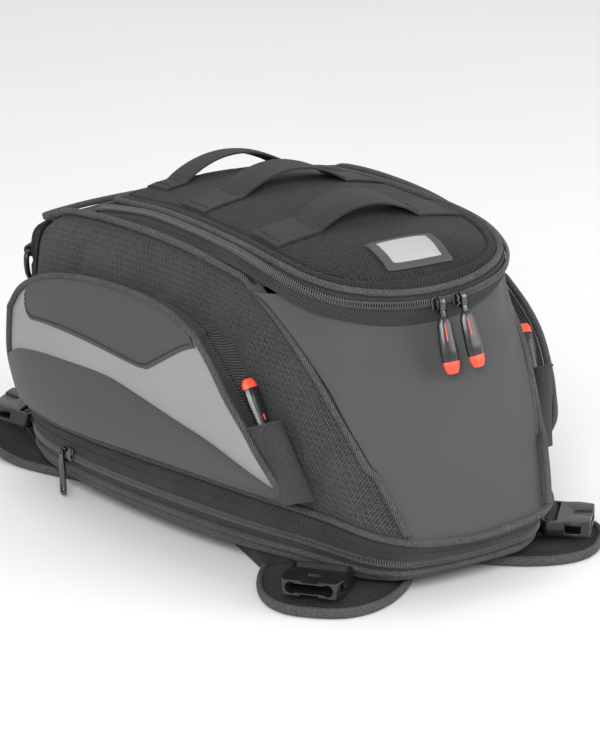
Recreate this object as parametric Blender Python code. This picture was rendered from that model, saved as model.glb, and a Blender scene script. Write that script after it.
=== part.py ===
"""Expandable motorcycle tank bag on a four-wing harness. Metres, +Z up.

The origin is on the floor under the middle of the bag. -Y is the sloping front, which faces the
rider, and left is -X. The bag is symmetric about the plane X = 0. Lengths below are in
millimetres and points are (x, y, z) on the +X side. The build mirrors them for the -X side.
"""

import math

import bmesh
import bpy
from mathutils import Matrix, Vector
from mathutils.geometry import intersect_line_line_2d

MM = 0.001
SIDES = (("left", -1), ("right", 1))

# Driving dimensions.
GAP = 0.35  # between pieces that touch
WEBBING = 38.0  # width of every strap
WEBBING_THICK = 1.8
PIPING_RADIUS = 2.1
TAPE_THICK = 1.4
LID_THICK = 5.0
SHELL_CENTRE = Vector((0, 10, 110))  # wall thickness is measured towards this point
SHELL_KEEP = 0.972  # inner wall surface as a share of the outer one's distance from the centre
ZIP_ARC_RADIUS = 144.0
ZIP_ARC_TILT = math.radians(25)
ZIP_FRONT = Vector((0, -157, 205))
WING_THICK = 8.0
WING_HALF_WIDTH = 56.0
SADDLE_THICK = 11.6
EXPANSION = 45.0

# Outlines as half curves. The base runs from the middle of the rear to the middle of the front.
BASE_TOP = [(0, 221, 57), (100, 221, 57), (142, 219, 57), (158, 206, 57), (165, 165, 57),
            (159, 105, 57), (143, 35, 57), (125, -30, 57), (107, -92, 56), (91, -143, 55),
            (77, -194, 53), (58, -214, 50), (36, -216, 46), (0, -216, 43)]
BASE_BOTTOM = [(0, 217, 12), (100, 217, 12), (139, 213, 12), (152, 198, 12), (158, 160, 12),
               (154, 105, 12), (144, 40, 12), (131, -20, 12), (114, -75, 12), (93, -128, 12),
               (76, -170, 12), (56, -190, 12), (36, -194, 12), (0, -195, 12)]
REAR_CORNER, FRONT_CORNER = 2.6, 11.0  # places along the base outlines where panels meet

# The lid and its zip run from the middle of the front to the rear corner.
LID_EDGE = [(0, -155, 213), (34, -152, 215), (64, -140, 220), (82, -120, 226), (91, -87, 232),
            (93, -46, 235), (93, 24, 235), (93, 90, 232), (94, 145, 226), (89, 166, 223)]
LID_REAR = [(60, 173, 224), (0, 174, 226)]
ZIP_LINE = [(0, -157, 205), (34, -153.3, 206.7), (66, -142.5, 211.8), (86, -122, 219),
            (96, -87, 227), (98, -46, 231), (98, 24, 231), (98, 90, 228), (100, 148, 220),
            (101, 172, 215)]
BAND_LOW = [(0, -153, 192), (34, -149.5, 194), (64, -139, 200), (86, -121, 208), (99, -87, 219),
            (104, -46, 225), (105, 24, 225), (106, 90, 222), (109, 148, 213), (111, 174, 207)]
SPINE_HEIGHTS = [(-95, 241), (-50, 246), (0, 248), (60, 247), (130, 240)]

TOP_EDGE = [(98, -78, 208), (106, -42, 217), (112, 0, 223), (117, 56, 224), (122, 125, 219),
            (129, 182, 210), (134, 203, 199)]
FRONT_EDGE = [(98, -78, 208), (91, -103, 191), (85, -139, 161), (79, -163, 133),
              (72, -183, 106), (65, -201, 76)]
REAR_EDGE = [(134, 203, 199), (146, 209, 130)]
REAR_TOP = [(134, 203, 199), (90, 214, 203), (0, 217, 205)]
YOKE_INNER = [(111, 178, 206), (60, 179, 212), (0, 179.5, 214)]
FRONT_TOP = [(98, -78, 208), (94, -99, 207), (84, -119, 202), (64, -136, 195), (34, -147, 190),
             (0, -150, 188)]

# Side pocket: the piped edge of its face and the line where its gusset leaves the side panel.
FACE_REAR = [(166, 200, 66), (170, 206, 100), (169, 204, 138)]
FACE_TOP = [(169, 204, 138), (166, 184, 159), (159, 150, 174), (150, 100, 182), (141, 45, 184),
            (137, -8, 182), (136, -48, 173)]
FACE_FRONT = [(136, -48, 173), (137, -75, 156), (136.5, -94, 139), (132, -112, 119),
              (128, -123, 103), (121, -134, 84), (109, -128, 64)]
FACE_BOTTOM = [(166, 200, 66), (171, 165, 63), (167, 105, 62), (151, 38, 62), (133, -28, 62),
               (121, -78, 63), (109, -128, 64)]
ROOT_REAR = [(152, 202, 66), (149, 203, 100), (143, 196, 146)]
ROOT_TOP = [(143, 196, 146), (138, 180, 160), (132, 140, 176), (126, 84, 184), (120, 41, 186),
            (111.5, -14, 184), (107.5, -42, 176)]
ROOT_FRONT = [(107.5, -42, 176), (105, -68, 158), (103, -95, 134), (99, -118, 104),
              (92, -136, 68)]
FACE_BULGE = 9.0
GUSSET_BULGE = 7.0  # how far the middle of the gusset stands out between its two seams
ZIP_SHARE = 0.5  # how far out along the gusset the pocket's zip lies

COLOURS = {
    "ripstop": ((0.035, 0.035, 0.037), 0.9, 0.0),
    "lid_fabric": ((0.04, 0.04, 0.042), 0.9, 0.0),
    "softshell": ((0.055, 0.055, 0.057), 0.7, 0.0),
    "binding": ((0.03, 0.03, 0.032), 0.85, 0.0),
    "zip_tape": ((0.035, 0.035, 0.037), 0.85, 0.0),
    "webbing": ((0.02, 0.02, 0.021), 0.8, 0.0),
    "reflective": ((0.42, 0.41, 0.41), 0.55, 0.0),
    "rubber": ((0.02, 0.02, 0.02), 0.6, 0.0),
    "foam_board": ((0.06, 0.06, 0.06), 0.9, 0.0),
    "buckle_plastic": ((0.012, 0.012, 0.012), 0.3, 0.0),
    "pull_plastic": ((0.015, 0.015, 0.016), 0.25, 0.0),
    "pull_tip": ((0.85, 0.09, 0.04), 0.45, 0.0),
    "slider_metal": ((0.05, 0.05, 0.055), 0.25, 1.0),
}


def clear_scene():
    for item in list(bpy.data.objects):
        bpy.data.objects.remove(item, do_unlink=True)


def material(slot):
    found = bpy.data.materials.get(slot)
    if found:
        return found
    colour, roughness, metallic = COLOURS[slot]
    made = bpy.data.materials.new(slot)
    made.use_nodes = True
    shader = made.node_tree.nodes["Principled BSDF"]
    shader.inputs["Base Color"].default_value = (*colour, 1)
    shader.inputs["Roughness"].default_value = roughness
    shader.inputs["Metallic"].default_value = metallic
    return made


def pivot(name, place, turn=Matrix.Identity(4)):
    """An empty on a joint's axis. A moving piece is parented to it."""
    empty = bpy.data.objects.new(name, None)
    bpy.context.scene.collection.objects.link(empty)
    empty.matrix_world = Matrix.Translation(Vector(place) * MM) @ turn
    return empty


def finish(bm, name, slot, parent=None, smooth=30):
    """Turns a bmesh in millimetres and world space into the named object of one material."""
    bmesh.ops.recalc_face_normals(bm, faces=bm.faces)
    if bm.calc_volume(signed=True) < 0:
        bmesh.ops.reverse_faces(bm, faces=bm.faces)
    mesh = bpy.data.meshes.new(name)
    bm.to_mesh(mesh)
    bm.free()
    made = bpy.data.objects.new(name, mesh)
    bpy.context.scene.collection.objects.link(made)
    mesh.transform(Matrix.Scale(MM, 4))
    mesh.materials.append(material(slot))
    mesh.shade_smooth()
    mesh.set_sharp_from_angle(angle=math.radians(smooth))
    if parent:
        mesh.transform(parent.matrix_world.inverted())
        made.parent = parent
    return made


# Curves.

def spline(points, place, closed_ends=False):
    """The point at a place along a Catmull-Rom curve, where place 2.5 is halfway from 2 to 3."""
    points = [Vector(p) for p in points]
    last = len(points) - 1
    index = min(int(place), last - 1)
    t = place - index
    flip = Vector((-1, 1, 1))
    before = points[index - 1] if index else 2 * points[0] - points[1]
    after = points[index + 2] if index + 2 <= last else 2 * points[last] - points[last - 1]
    if closed_ends and index == 0:
        before = points[1] * flip
    if closed_ends and index + 2 > last and abs(points[last].x) < 1e-6:
        after = points[last - 1] * flip
    a, b = points[index], points[index + 1]
    return 0.5 * (2 * a + (b - before) * t + (2 * before - 5 * a + 4 * b - after) * t * t
                  + (3 * a - before - 3 * b + after) * t ** 3)


def stretch(points, start, end, count, closed_ends=True):
    """Count points evenly spaced in length along the part of a spline from start to end."""
    fine = [spline(points, start + (end - start) * i / 240, closed_ends) for i in range(241)]
    run = [0.0]
    for a, b in zip(fine, fine[1:]):
        run.append(run[-1] + (b - a).length)
    out = []
    j = 0
    for i in range(count):
        want = run[-1] * i / (count - 1)
        while j < 239 and run[j + 1] < want:
            j += 1
        t = (want - run[j]) / max(run[j + 1] - run[j], 1e-9)
        out.append(fine[j].lerp(fine[j + 1], t))
    return out


def whole(points, count, closed_ends=True):
    return stretch(points, 0, len(points) - 1, count, closed_ends)


def mirrored(points):
    return [Vector((-p.x, p.y, p.z)) for p in points]


def side_points(points, sign):
    return [Vector((p.x * sign, p.y, p.z)) for p in points]


def both_halves(half):
    """A half curve that starts on the plane X = 0, made whole: -X end first."""
    return mirrored(half)[:0:-1] + half


def loop_of(half):
    """A half curve from the rear middle to the front middle, made into a closed loop."""
    return half + mirrored(half)[-2:0:-1]


def inward(points, closed):
    """Horizontal unit vectors from each point of an outline towards its inside."""
    count = len(points)
    middle = sum(points, Vector()) / count
    out = []
    for i, here in enumerate(points):
        a = points[(i - 1) % count] if closed or i else points[0]
        b = points[(i + 1) % count] if closed or i < count - 1 else points[-1]
        along = b - a
        side = Vector((along.y, -along.x, 0)).normalized()
        out.append(side if side.dot(middle - here) > 0 else -side)
    return out


# Solids.

def bridge(bm, first, second, closed):
    count = len(first)
    for i in range(count if closed else count - 1):
        j = (i + 1) % count
        bm.faces.new((first[i], first[j], second[j], second[i]))


def swept(name, slot, profiles, closed, parent=None, smooth=30):
    """A solid from equal cross-sections: a ring when closed, or a strip with capped ends."""
    bm = bmesh.new()
    rows = [[bm.verts.new(p) for p in profile] for profile in profiles]
    pairs = list(zip(rows, rows[1:])) + ([(rows[-1], rows[0])] if closed else [])
    for a, b in pairs:
        bridge(bm, a, b, True)
    if not closed:
        bm.faces.new(rows[0])
        bm.faces.new(reversed(rows[-1]))
    return finish(bm, name, slot, parent, smooth)


def tube(name, slot, path, radius, closed=False, parent=None, sides=6):
    """A round bead along a path."""
    count = len(path)
    profiles = []
    up = Vector((0, 0, 1))
    for i, here in enumerate(path):
        a = path[(i - 1) % count] if closed or i else here
        b = path[(i + 1) % count] if closed or i < count - 1 else here
        along = (b - a).normalized()
        if abs(along.dot(up)) > 0.9:
            up = Vector((0, 1, 0))
        across = along.cross(up).normalized()
        up = across.cross(along).normalized()
        profiles.append([here + radius * (math.cos(k * math.tau / sides) * across
                                          + math.sin(k * math.tau / sides) * up)
                         for k in range(sides)])
    return swept(name, slot, profiles, closed, parent, smooth=60)


def shell_inner(point):
    return SHELL_CENTRE + (point - SHELL_CENTRE) * SHELL_KEEP


def coons(bottom, top, first, last):
    """A grid of points between four edges. Rows run from bottom to top."""
    columns, rows = len(bottom) - 1, len(first) - 1
    grid = []
    for j in range(rows + 1):
        v = j / rows
        row = []
        for i in range(columns + 1):
            u = i / columns
            ruled = bottom[i].lerp(top[i], v) + first[j].lerp(last[j], u)
            corners = bottom[0].lerp(bottom[-1], u).lerp(top[0].lerp(top[-1], u), v)
            row.append(ruled - corners)
        grid.append(row)
    return grid


def pulled_in(grid, gap):
    """The grid with its border moved in by a gap, so that neighbouring panels stay apart."""
    out = [[p.copy() for p in row] for row in grid]
    for i in range(len(grid[0])):
        out[0][i] += (grid[1][i] - grid[0][i]).normalized() * gap
        out[-1][i] += (grid[-2][i] - grid[-1][i]).normalized() * gap
    for j in range(len(grid)):
        out[j][0] += (grid[j][1] - grid[j][0]).normalized() * gap
        out[j][-1] += (grid[j][-2] - grid[j][-1]).normalized() * gap
    return out


def panel(name, slot, grid, inner_of, parent=None):
    """A wall between a grid of outer points and the inner points that inner_of gives."""
    bm = bmesh.new()
    outer = [[bm.verts.new(p) for p in row] for row in grid]
    inner = [[bm.verts.new(inner_of(p)) for p in row] for row in grid]
    for side in (outer, inner):
        for a, b in zip(side, side[1:]):
            bridge(bm, a, b, False)
    rim_outer = outer[0] + [row[-1] for row in outer[1:]] + outer[-1][-2::-1] \
        + [row[0] for row in outer[-2:0:-1]]
    rim_inner = inner[0] + [row[-1] for row in inner[1:]] + inner[-1][-2::-1] \
        + [row[0] for row in inner[-2:0:-1]]
    bridge(bm, rim_outer, rim_inner, True)
    return finish(bm, name, slot, parent)


def sheet(name, slot, skins, parent=None):
    """A panel between two grids of points, the outer one first."""
    bm = bmesh.new()
    verts = [[[bm.verts.new(p) for p in row] for row in skin] for skin in skins]
    for skin in verts:
        for a, b in zip(skin, skin[1:]):
            bridge(bm, a, b, False)
    bridge(bm, rim_of(verts[0]), rim_of(verts[1]), True)
    finish(bm, name, slot, parent)


def pair_cap(bm, loop):
    """Closes a loop that is symmetric about its first point, with one face between each pair."""
    count = len(loop)
    half = count // 2
    bm.faces.new((loop[0], loop[1], loop[-1]))
    for i in range(1, half - 1):
        bm.faces.new((loop[i], loop[i + 1], loop[count - i - 1], loop[count - i]))
    bm.faces.new((loop[half - 1], loop[half], loop[half + 1]))


def lofted(name, slot, loops, parent=None, smooth=30):
    """A solid through symmetric loops, capped at both ends."""
    bm = bmesh.new()
    rows = [[bm.verts.new(p) for p in loop] for loop in loops]
    for a, b in zip(rows, rows[1:]):
        bridge(bm, a, b, True)
    pair_cap(bm, rows[0])
    pair_cap(bm, rows[-1])
    return finish(bm, name, slot, parent, smooth)


def prism(name, slot, outline, low, high, parent=None, turn=None, bevel=0.0):
    """An extruded outline, given in its own XY plane, with its edges broken by a bevel."""
    bm = bmesh.new()
    floor = [bm.verts.new((x, y, low)) for x, y in outline]
    roof = [bm.verts.new((x, y, high)) for x, y in outline]
    bm.faces.new(reversed(floor))
    bm.faces.new(roof)
    bridge(bm, floor, roof, True)
    if bevel:
        rims = [e for e in bm.edges if abs(e.verts[0].co.z - e.verts[1].co.z) < 1e-6]
        bmesh.ops.bevel(bm, geom=rims, offset=bevel, segments=2, affect="EDGES",
                        profile=0.5, clamp_overlap=True)
    if turn:
        bm.transform(turn)
    return finish(bm, name, slot, parent)


def rounded_rectangle(x0, x1, y0, y1, radius, steps=3):
    corners = ((x1 - radius, y1 - radius, 0), (x0 + radius, y1 - radius, 90),
               (x0 + radius, y0 + radius, 180), (x1 - radius, y0 + radius, 270))
    return [(cx + radius * math.cos(math.radians(start + 90 * k / steps)),
             cy + radius * math.sin(math.radians(start + 90 * k / steps)))
            for cx, cy, start in corners for k in range(steps + 1)]


def cut(target, name, low, high, turn=Matrix.Identity(4)):
    """Takes a box, in millimetres and moved by a turn, out of the target."""
    bm = bmesh.new()
    bmesh.ops.create_cube(bm, size=1)
    size = Vector(high) - Vector(low)
    bm.transform(turn @ Matrix.Translation((Vector(low) + Vector(high)) / 2)
                 @ Matrix.Diagonal((*size, 1)))
    mesh = bpy.data.meshes.new(name)
    bm.to_mesh(mesh)
    bm.free()
    mesh.transform(Matrix.Scale(MM, 4))
    cutter = bpy.data.objects.new(name, mesh)
    bpy.context.scene.collection.objects.link(cutter)
    if target.parent:
        mesh.transform(target.parent.matrix_world.inverted())
        cutter.parent = target.parent
    cutter.hide_render = True
    cutter.display_type = "WIRE"
    modifier = target.modifiers.new(name, "BOOLEAN")
    modifier.operation = "DIFFERENCE"
    modifier.solver = "EXACT"
    modifier.object = cutter


# The base: tray, board, the two zip tapes and their beads, and the folded gusset between them.

RING_COUNT = 21  # points along half of the base outline


def band_ring(fraction, inset):
    """The base outline at a height share between the floor and the upper piping, set in."""
    top = whole(BASE_TOP, RING_COUNT)
    bottom = whole(BASE_BOTTOM, RING_COUNT)
    ring = loop_of([b.lerp(t, fraction) for b, t in zip(bottom, top)])
    return [p + n * inset for p, n in zip(ring, inward(ring, True))]


def band(name, slot, corners, parent=None):
    """A ring whose cross-section has the given (height share, inset) corners."""
    rings = [band_ring(*corner) for corner in corners]
    swept(name, slot, [list(profile) for profile in zip(*rings)], True, parent)


def make_base():
    rim = 0.13
    loops = [band_ring(0, 14), band_ring(0, 0), band_ring(rim, 0), band_ring(rim, 2.2),
             band_ring(0.06, 2.2), band_ring(0.06, 14)]
    loops[0] = [Vector((p.x, p.y, 12)) for p in loops[0]]
    lofted("base_panel", "ripstop", loops)
    lofted("base_board", "foam_board",
           [[Vector((p.x, p.y, z)) for p in band_ring(0, 9)] for z in (15.4, 17.9)])
    tube("lower_base_piping", "binding", band_ring(0.2, 0), PIPING_RADIUS, closed=True)
    band("expansion_zip_lower_tape", "zip_tape",
         [(0.27, 0.6), (0.565, 0.6), (0.565, 0.6 + TAPE_THICK), (0.27, 0.6 + TAPE_THICK)])
    band("expansion_gusset", "ripstop", [(0.16, 4.2), (0.94, 4.2), (0.94, 6.4), (0.16, 6.4)])


def make_shell_skirt(body=None):
    band("expansion_zip_upper_tape", "zip_tape",
         [(0.6, 0.6), (0.93, 0.6), (0.93, 0.6 + TAPE_THICK), (0.6, 0.6 + TAPE_THICK)], body)
    tube("upper_base_piping", "binding", band_ring(1.0, 0), PIPING_RADIUS, True, body)


# The shell: panels between the edges, each a few millimetres thick.

def base_edge(start, end, count):
    """Points just above the upper base piping."""
    lift = Vector((0, 0, PIPING_RADIUS + 0.6))
    return [p + lift for p in stretch(BASE_TOP, start, end, count)]


def rear_edge(count):
    top_down = [Vector(p) for p in REAR_EDGE] + [base_edge(REAR_CORNER, REAR_CORNER + 1, 2)[0]]
    return whole(top_down, count, False)[::-1]


def front_edge(count):
    top_down = [Vector(p) for p in FRONT_EDGE] + [base_edge(FRONT_CORNER, 12, 2)[0]]
    return whole(top_down, count, False)[::-1]


PANEL_ROWS, PANEL_COLUMNS = 10, 14
FRONT_FLATNESS = 11.0  # how far the middle of the front panel lies behind its bowed corners


def side_grid(columns=PANEL_COLUMNS, rows=PANEL_ROWS):
    """The right side panel's outer surface: columns run from the rear to the front corner."""
    return coons(base_edge(REAR_CORNER, FRONT_CORNER, columns),
                 whole(TOP_EDGE, columns, False)[::-1], rear_edge(rows), front_edge(rows))


def front_grid():
    half_bottom = base_edge(FRONT_CORNER, len(BASE_TOP) - 1, 7)
    half_top = whole(FRONT_TOP, 7)
    edge = front_edge(PANEL_ROWS)
    grid = coons(half_bottom + mirrored(half_bottom)[-2::-1],
                 half_top + mirrored(half_top)[-2::-1], edge, mirrored(edge))
    for j, row in enumerate(grid):
        up = math.sin(math.pi * j / (len(grid) - 1))
        for i, p in enumerate(row):
            p.y += FRONT_FLATNESS * up * math.sin(math.pi * i / (len(row) - 1))
    return grid


def make_panels():
    for side, sign in SIDES:
        grid = [side_points(row, sign) for row in side_grid()]
        panel(f"side_panel_{side}", "ripstop", pulled_in(grid, GAP), shell_inner)
    panel("front_panel", "softshell", pulled_in(front_grid(), GAP), shell_inner)
    half_bottom = base_edge(0, REAR_CORNER, 7)[::-1]
    half_top = whole(REAR_TOP, 7)
    edge = rear_edge(PANEL_ROWS)
    grid = coons(half_bottom + mirrored(half_bottom)[-2::-1],
                 half_top + mirrored(half_top)[-2::-1], edge, mirrored(edge))
    panel("rear_panel", "ripstop", pulled_in(grid, GAP), shell_inner)


def make_body_piping():
    """The bead over the top edge: up the left front corner, round the rear and down the right."""
    top = whole(REAR_TOP, 6)[::-1] + whole(TOP_EDGE, 14, False)[-2:0:-1]
    proud = [p + (p - SHELL_CENTRE).normalized() * (PIPING_RADIUS + 1.5) for p in top]
    edge = front_edge(PANEL_ROWS)
    for j in range(PANEL_ROWS - 1, 0, -1):
        up = edge[min(j + 1, PANEL_ROWS - 1)] - edge[j - 1]
        sideways = up.cross(edge[j] - side_grid()[j][-2]).normalized()
        ahead = (edge[j] - front_grid()[j][1]).cross(up).normalized()
        proud.append(edge[j] + (sideways + ahead).normalized() * (PIPING_RADIUS + 2.0))
    tube("body_piping", "binding", both_halves(proud), PIPING_RADIUS)


def make_top_gusset():
    """The fabric strip between the zip and the top edge of the side and rear panels."""
    inner = stretch(BAND_LOW, 4.0, 9, PANEL_COLUMNS)[:-1] + whole(YOKE_INNER, 7)
    outer = whole(TOP_EDGE, PANEL_COLUMNS, False)[:-1] + whole(REAR_TOP, 7)
    inner, outer = (side + mirrored(side)[-2::-1] for side in (inner, outer))
    rows = [[a.lerp(b, v) for a, b in zip(inner, outer)] for v in (0, 0.5, 1)]
    panel("top_gusset", "ripstop", pulled_in(rows, GAP + 0.1), shell_inner)


# The lid and the main zip. A strip runs over the whole U: left rear, round the front, right rear.

STRIP_COUNT = 22


def strip_line(upper, lower, share, end, proud):
    """The U-shaped line at a share of the way from one line to another, moved outwards."""
    a, b = (stretch(points, 0, end, STRIP_COUNT) for points in (upper, lower))
    line = [p.lerp(q, share) for p, q in zip(a, b)]
    out = []
    for i, p in enumerate(line):
        along = line[min(i + 1, len(line) - 1)] - line[max(i - 1, 0)]
        if i == 0:
            along = Vector((1, 0, 0))
        normal = along.cross(b[i] - a[i]).normalized()
        out.append(p + normal * proud * (1 if normal.dot(p - Vector((0, 10, 190))) > 0 else -1))
    return both_halves(out)


def strip(name, slot, lines, shares, end, low, high, parent=None):
    """A tape along the U, between two shares of its width and two distances outwards."""
    corners = ((shares[0], high), (shares[1], high), (shares[1], low), (shares[0], low))
    rails = [strip_line(*lines, share, end, proud) for share, proud in corners]
    swept(name, slot, [list(profile) for profile in zip(*rails)], False, parent)


def lid_outline(count):
    half = [Vector(p) for p in LID_EDGE + LID_REAR][::-1]
    return loop_of(whole(half, count))


def spine_height(y):
    points = [(a, b) for a, b in SPINE_HEIGHTS]
    y = min(max(y, points[0][0]), points[-1][0])
    for (y0, z0), (y1, z1) in zip(points, points[1:]):
        if y <= y1:
            return z0 + (z1 - z0) * (y - y0) / (y1 - y0)
    return points[-1][1]


def lid_surface(edge, share):
    """A point of the lid's crowned top, from its edge (0) to its middle line (1)."""
    y = min(max(edge.y, SPINE_HEIGHTS[0][0]), SPINE_HEIGHTS[-1][0])
    flat = edge.lerp(Vector((0, y, edge.z)), share)
    rise = 1 - (1 - share) ** 2.2
    return Vector((flat.x, flat.y, edge.z + (spine_height(y) - edge.z) * rise))


def lid_height(x, y):
    """The height of the lid's top over a point: a line from its middle through it to the edge."""
    middle_y = min(max(y, SPINE_HEIGHTS[0][0]), SPINE_HEIGHTS[-1][0])
    start, here = Vector((0, middle_y)), Vector((x, y))
    reach = (here - start).length
    if reach < 0.5:
        return spine_height(middle_y)
    outline = lid_outline(25)
    far = start + (here - start).normalized() * 400
    for a, b in zip(outline, outline[1:] + outline[:1]):
        hit = intersect_line_line_2d(start, far, a.xy, b.xy)
        if hit:
            along = (hit - a.xy).length / (b - a).xy.length
            share = 1 - reach / (hit - start).length
            return lid_surface(a.lerp(b, along), share).z
    return spine_height(middle_y)


def make_lid(body):
    edge = lid_outline(22)
    inner = [p + n * (PIPING_RADIUS + 0.6) for p, n in zip(edge, inward(edge, True))]
    down = Vector((0, 0, -LID_THICK))
    shares = (0, 0.1, 0.28, 0.52, 0.85)
    tops = [[lid_surface(p, share) for p in inner] for share in shares]
    loops = tops[::-1] + [[p + down for p in tops[k]] for k in (0, 2, 4)]
    lofted("lid_panel", "lid_fabric", loops, body)
    tube("lid_piping", "binding", edge, PIPING_RADIUS, True, body)
    strip("lid_zip_tape", "zip_tape", (LID_EDGE, ZIP_LINE), (0.42, 0.93), 9,
          -TAPE_THICK, 0, body)


def make_main_zip():
    strip("main_zip_tape", "zip_tape", (ZIP_LINE, BAND_LOW), (0.07, 0.94), 9, -TAPE_THICK, 0)


def strap_profile(half_span, foot, rise):
    """The upper line of a sewn webbing loop: flat feet, and an arch between them."""
    out = []
    steps = 8
    for x in (-foot, -(foot + half_span) / 2, -half_span - 4):
        out.append((x, 0))
    for k in range(1, 2 * steps):
        x = -half_span + half_span * k / steps
        out.append((x, rise * math.sin(math.pi * k / (2 * steps)) ** 0.8))
    for x in (half_span + 4, (foot + half_span) / 2, foot):
        out.append((x, 0))
    return out


def make_strap(name, y, width, half_span, foot, rise, lean, body):
    """A webbing loop across the lid. The arch leans along Y by a share of its height."""
    sections = []
    for x, lift in strap_profile(half_span, foot, rise):
        front, rear = y - width / 2, y + width / 2
        low = [lid_height(x, at) + GAP + 0.5 for at in (front, rear)]
        shift = lift * lean
        sections.append([Vector((x, front + shift, low[0] + lift)),
                         Vector((x, rear + shift, low[1] + lift)),
                         Vector((x, rear + shift, low[1] + lift + WEBBING_THICK)),
                         Vector((x, front + shift, low[0] + lift + WEBBING_THICK))])
    return swept(name, "webbing", sections, False, body)


def make_lid_straps(body):
    make_strap("front_lid_strap", -53, WEBBING, 42, 80, 13, 0, body)
    make_strap("rear_lid_strap", 56, WEBBING, 45, 80, 13, 0, body)
    make_strap("carry_handle", 142, 34, 48, 66, 14, 0.28, body)
    outline = ((-140, 17), (-133, 19.5), (-125, 21.5), (-117, 19.5), (-109, 17))
    places = [[(half * share, y) for share in (-1, -0.5, 0, 0.5, 1)] for y, half in outline]
    skins = [[[Vector((x, y, lid_height(x, y) + rise)) for x, y in row] for row in places]
             for rise in (3.2, 1.3)]
    sheet("lid_patch", "rubber", skins, body)


# Side pockets.

WALL_STEPS = 48  # how finely the side panel is divided to find points on it
ROOT_GAP = 1.7  # from the side panel to the seam line of the pocket


def on_wall(points, grid):
    """The points moved along X to just outside the side panel."""
    out = []
    for p in points:
        near = min((q for row in grid for q in row),
                   key=lambda q: (q.y - p.y) ** 2 + (q.z - p.z) ** 2)
        out.append(Vector((near.x + ROOT_GAP, p.y, p.z)))
    return out


FACE_COLUMNS, FACE_ROWS = 14, 6


def face_grid(columns=FACE_COLUMNS, rows=FACE_ROWS):
    """The bulging pocket face: columns run from the rear to the front, rows from the bottom."""
    grid = coons(whole(FACE_BOTTOM, columns + 1, False), whole(FACE_TOP, columns + 1, False),
                 whole(FACE_REAR, rows + 1, False), whole(FACE_FRONT, rows + 1, False)[::-1])
    for j, row in enumerate(grid):
        for i, p in enumerate(row):
            u, v = i / columns, j / rows
            p += Vector((1, -0.15, 0)) * FACE_BULGE * math.sin(math.pi * u) ** 0.7 \
                * math.sin(math.pi * v ** 0.75)
    return grid


def rim_of(grid):
    """The border of a grid as a loop: bottom from the rear, front up, top back, rear down."""
    return grid[0] + [row[-1] for row in grid[1:]] + grid[-1][-2::-1] \
        + [row[0] for row in grid[-2:0:-1]]


def grid_normals(grid):
    out = []
    for j, row in enumerate(grid):
        line = []
        for i in range(len(row)):
            along = row[min(i + 1, len(row) - 1)] - row[max(i - 1, 0)]
            up = grid[min(j + 1, len(grid) - 1)][i] - grid[max(j - 1, 0)][i]
            line.append(up.cross(along).normalized())
        out.append(line)
    if out[len(out) // 2][len(out[0]) // 2].x < 0:
        out = [[-n for n in line] for line in out]
    return out


def root_loop():
    """The line on the side panel under each point of the face's border."""
    wall = side_grid(WALL_STEPS, WALL_STEPS)
    bottom = [Vector((0, p.y, p.z + 4)) for p in whole(FACE_BOTTOM, FACE_COLUMNS + 1, False)]
    front = whole(ROOT_FRONT, FACE_ROWS + 1, False)[::-1]
    top = whole(ROOT_TOP, FACE_COLUMNS + 1, False)[::-1]
    rear = whole(ROOT_REAR, FACE_ROWS + 1, False)[::-1]
    return on_wall(bottom[:-1] + front + top[1:] + rear[1:-1], wall)


def gusset_middle():
    """The seam of the pocket's zip: half way out along the gusset, which bulges there."""
    rim, root = rim_of(face_grid()), root_loop()
    count = len(rim)
    out = []
    for k, (p, q) in enumerate(zip(root, rim)):
        along = rim[(k + 1) % count] - rim[k - 1]
        side = along.cross(q - p).normalized()
        front = FACE_COLUMNS <= k <= FACE_COLUMNS + FACE_ROWS
        share = min(1.0, (q - p).length / 28)
        out.append(p.lerp(q, ZIP_SHARE) + side * GUSSET_BULGE * share * (1 if front else 0.45))
    return out


def clear_of_wall(points, wall, gap):
    """The points, moved out along X where they would lie in the side panel."""
    return [Vector((max(p.x, q.x + gap), p.y, p.z)) for p, q in zip(points, on_wall(points, wall))]


def face_place(grid, normals, u, v, lift):
    """The point at a place on the face, lifted off it."""
    columns, rows = len(grid[0]) - 1, len(grid) - 1
    i, j = min(int(u * columns), columns - 1), min(int(v * rows), rows - 1)
    a, b = u * columns - i, v * rows - j

    def mix(table):
        low = table[j][i].lerp(table[j][i + 1], a)
        return low.lerp(table[j + 1][i].lerp(table[j + 1][i + 1], a), b)

    return mix(grid) + mix(normals).normalized() * lift


def flip(points, sign):
    return side_points(points, sign)


# Places on the face as shares of its length from the rear and of its height.
PAD_EDGE = [(0.0, 0.45), (0.07, 0.5), (0.19, 0.5), (0.34, 0.49), (0.51, 0.47), (0.61, 0.42),
            (0.74, 0.34), (0.83, 0.28), (0.9, 0.2), (0.98, 0.1)]
BADGE_REAR = [(0.18, 0.71), (0.14, 0.79), (0.135, 0.87), (0.14, 0.95)]
BADGE_FRONT = [(0.61, 0.64), (0.71, 0.74), (0.74, 0.85), (0.68, 0.95)]


def edge_height(points, u):
    for (a, low), (b, high) in zip(points, points[1:]):
        if u <= b:
            return low + (high - low) * max(u - a, 0) / (b - a)
    return points[-1][1]


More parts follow.
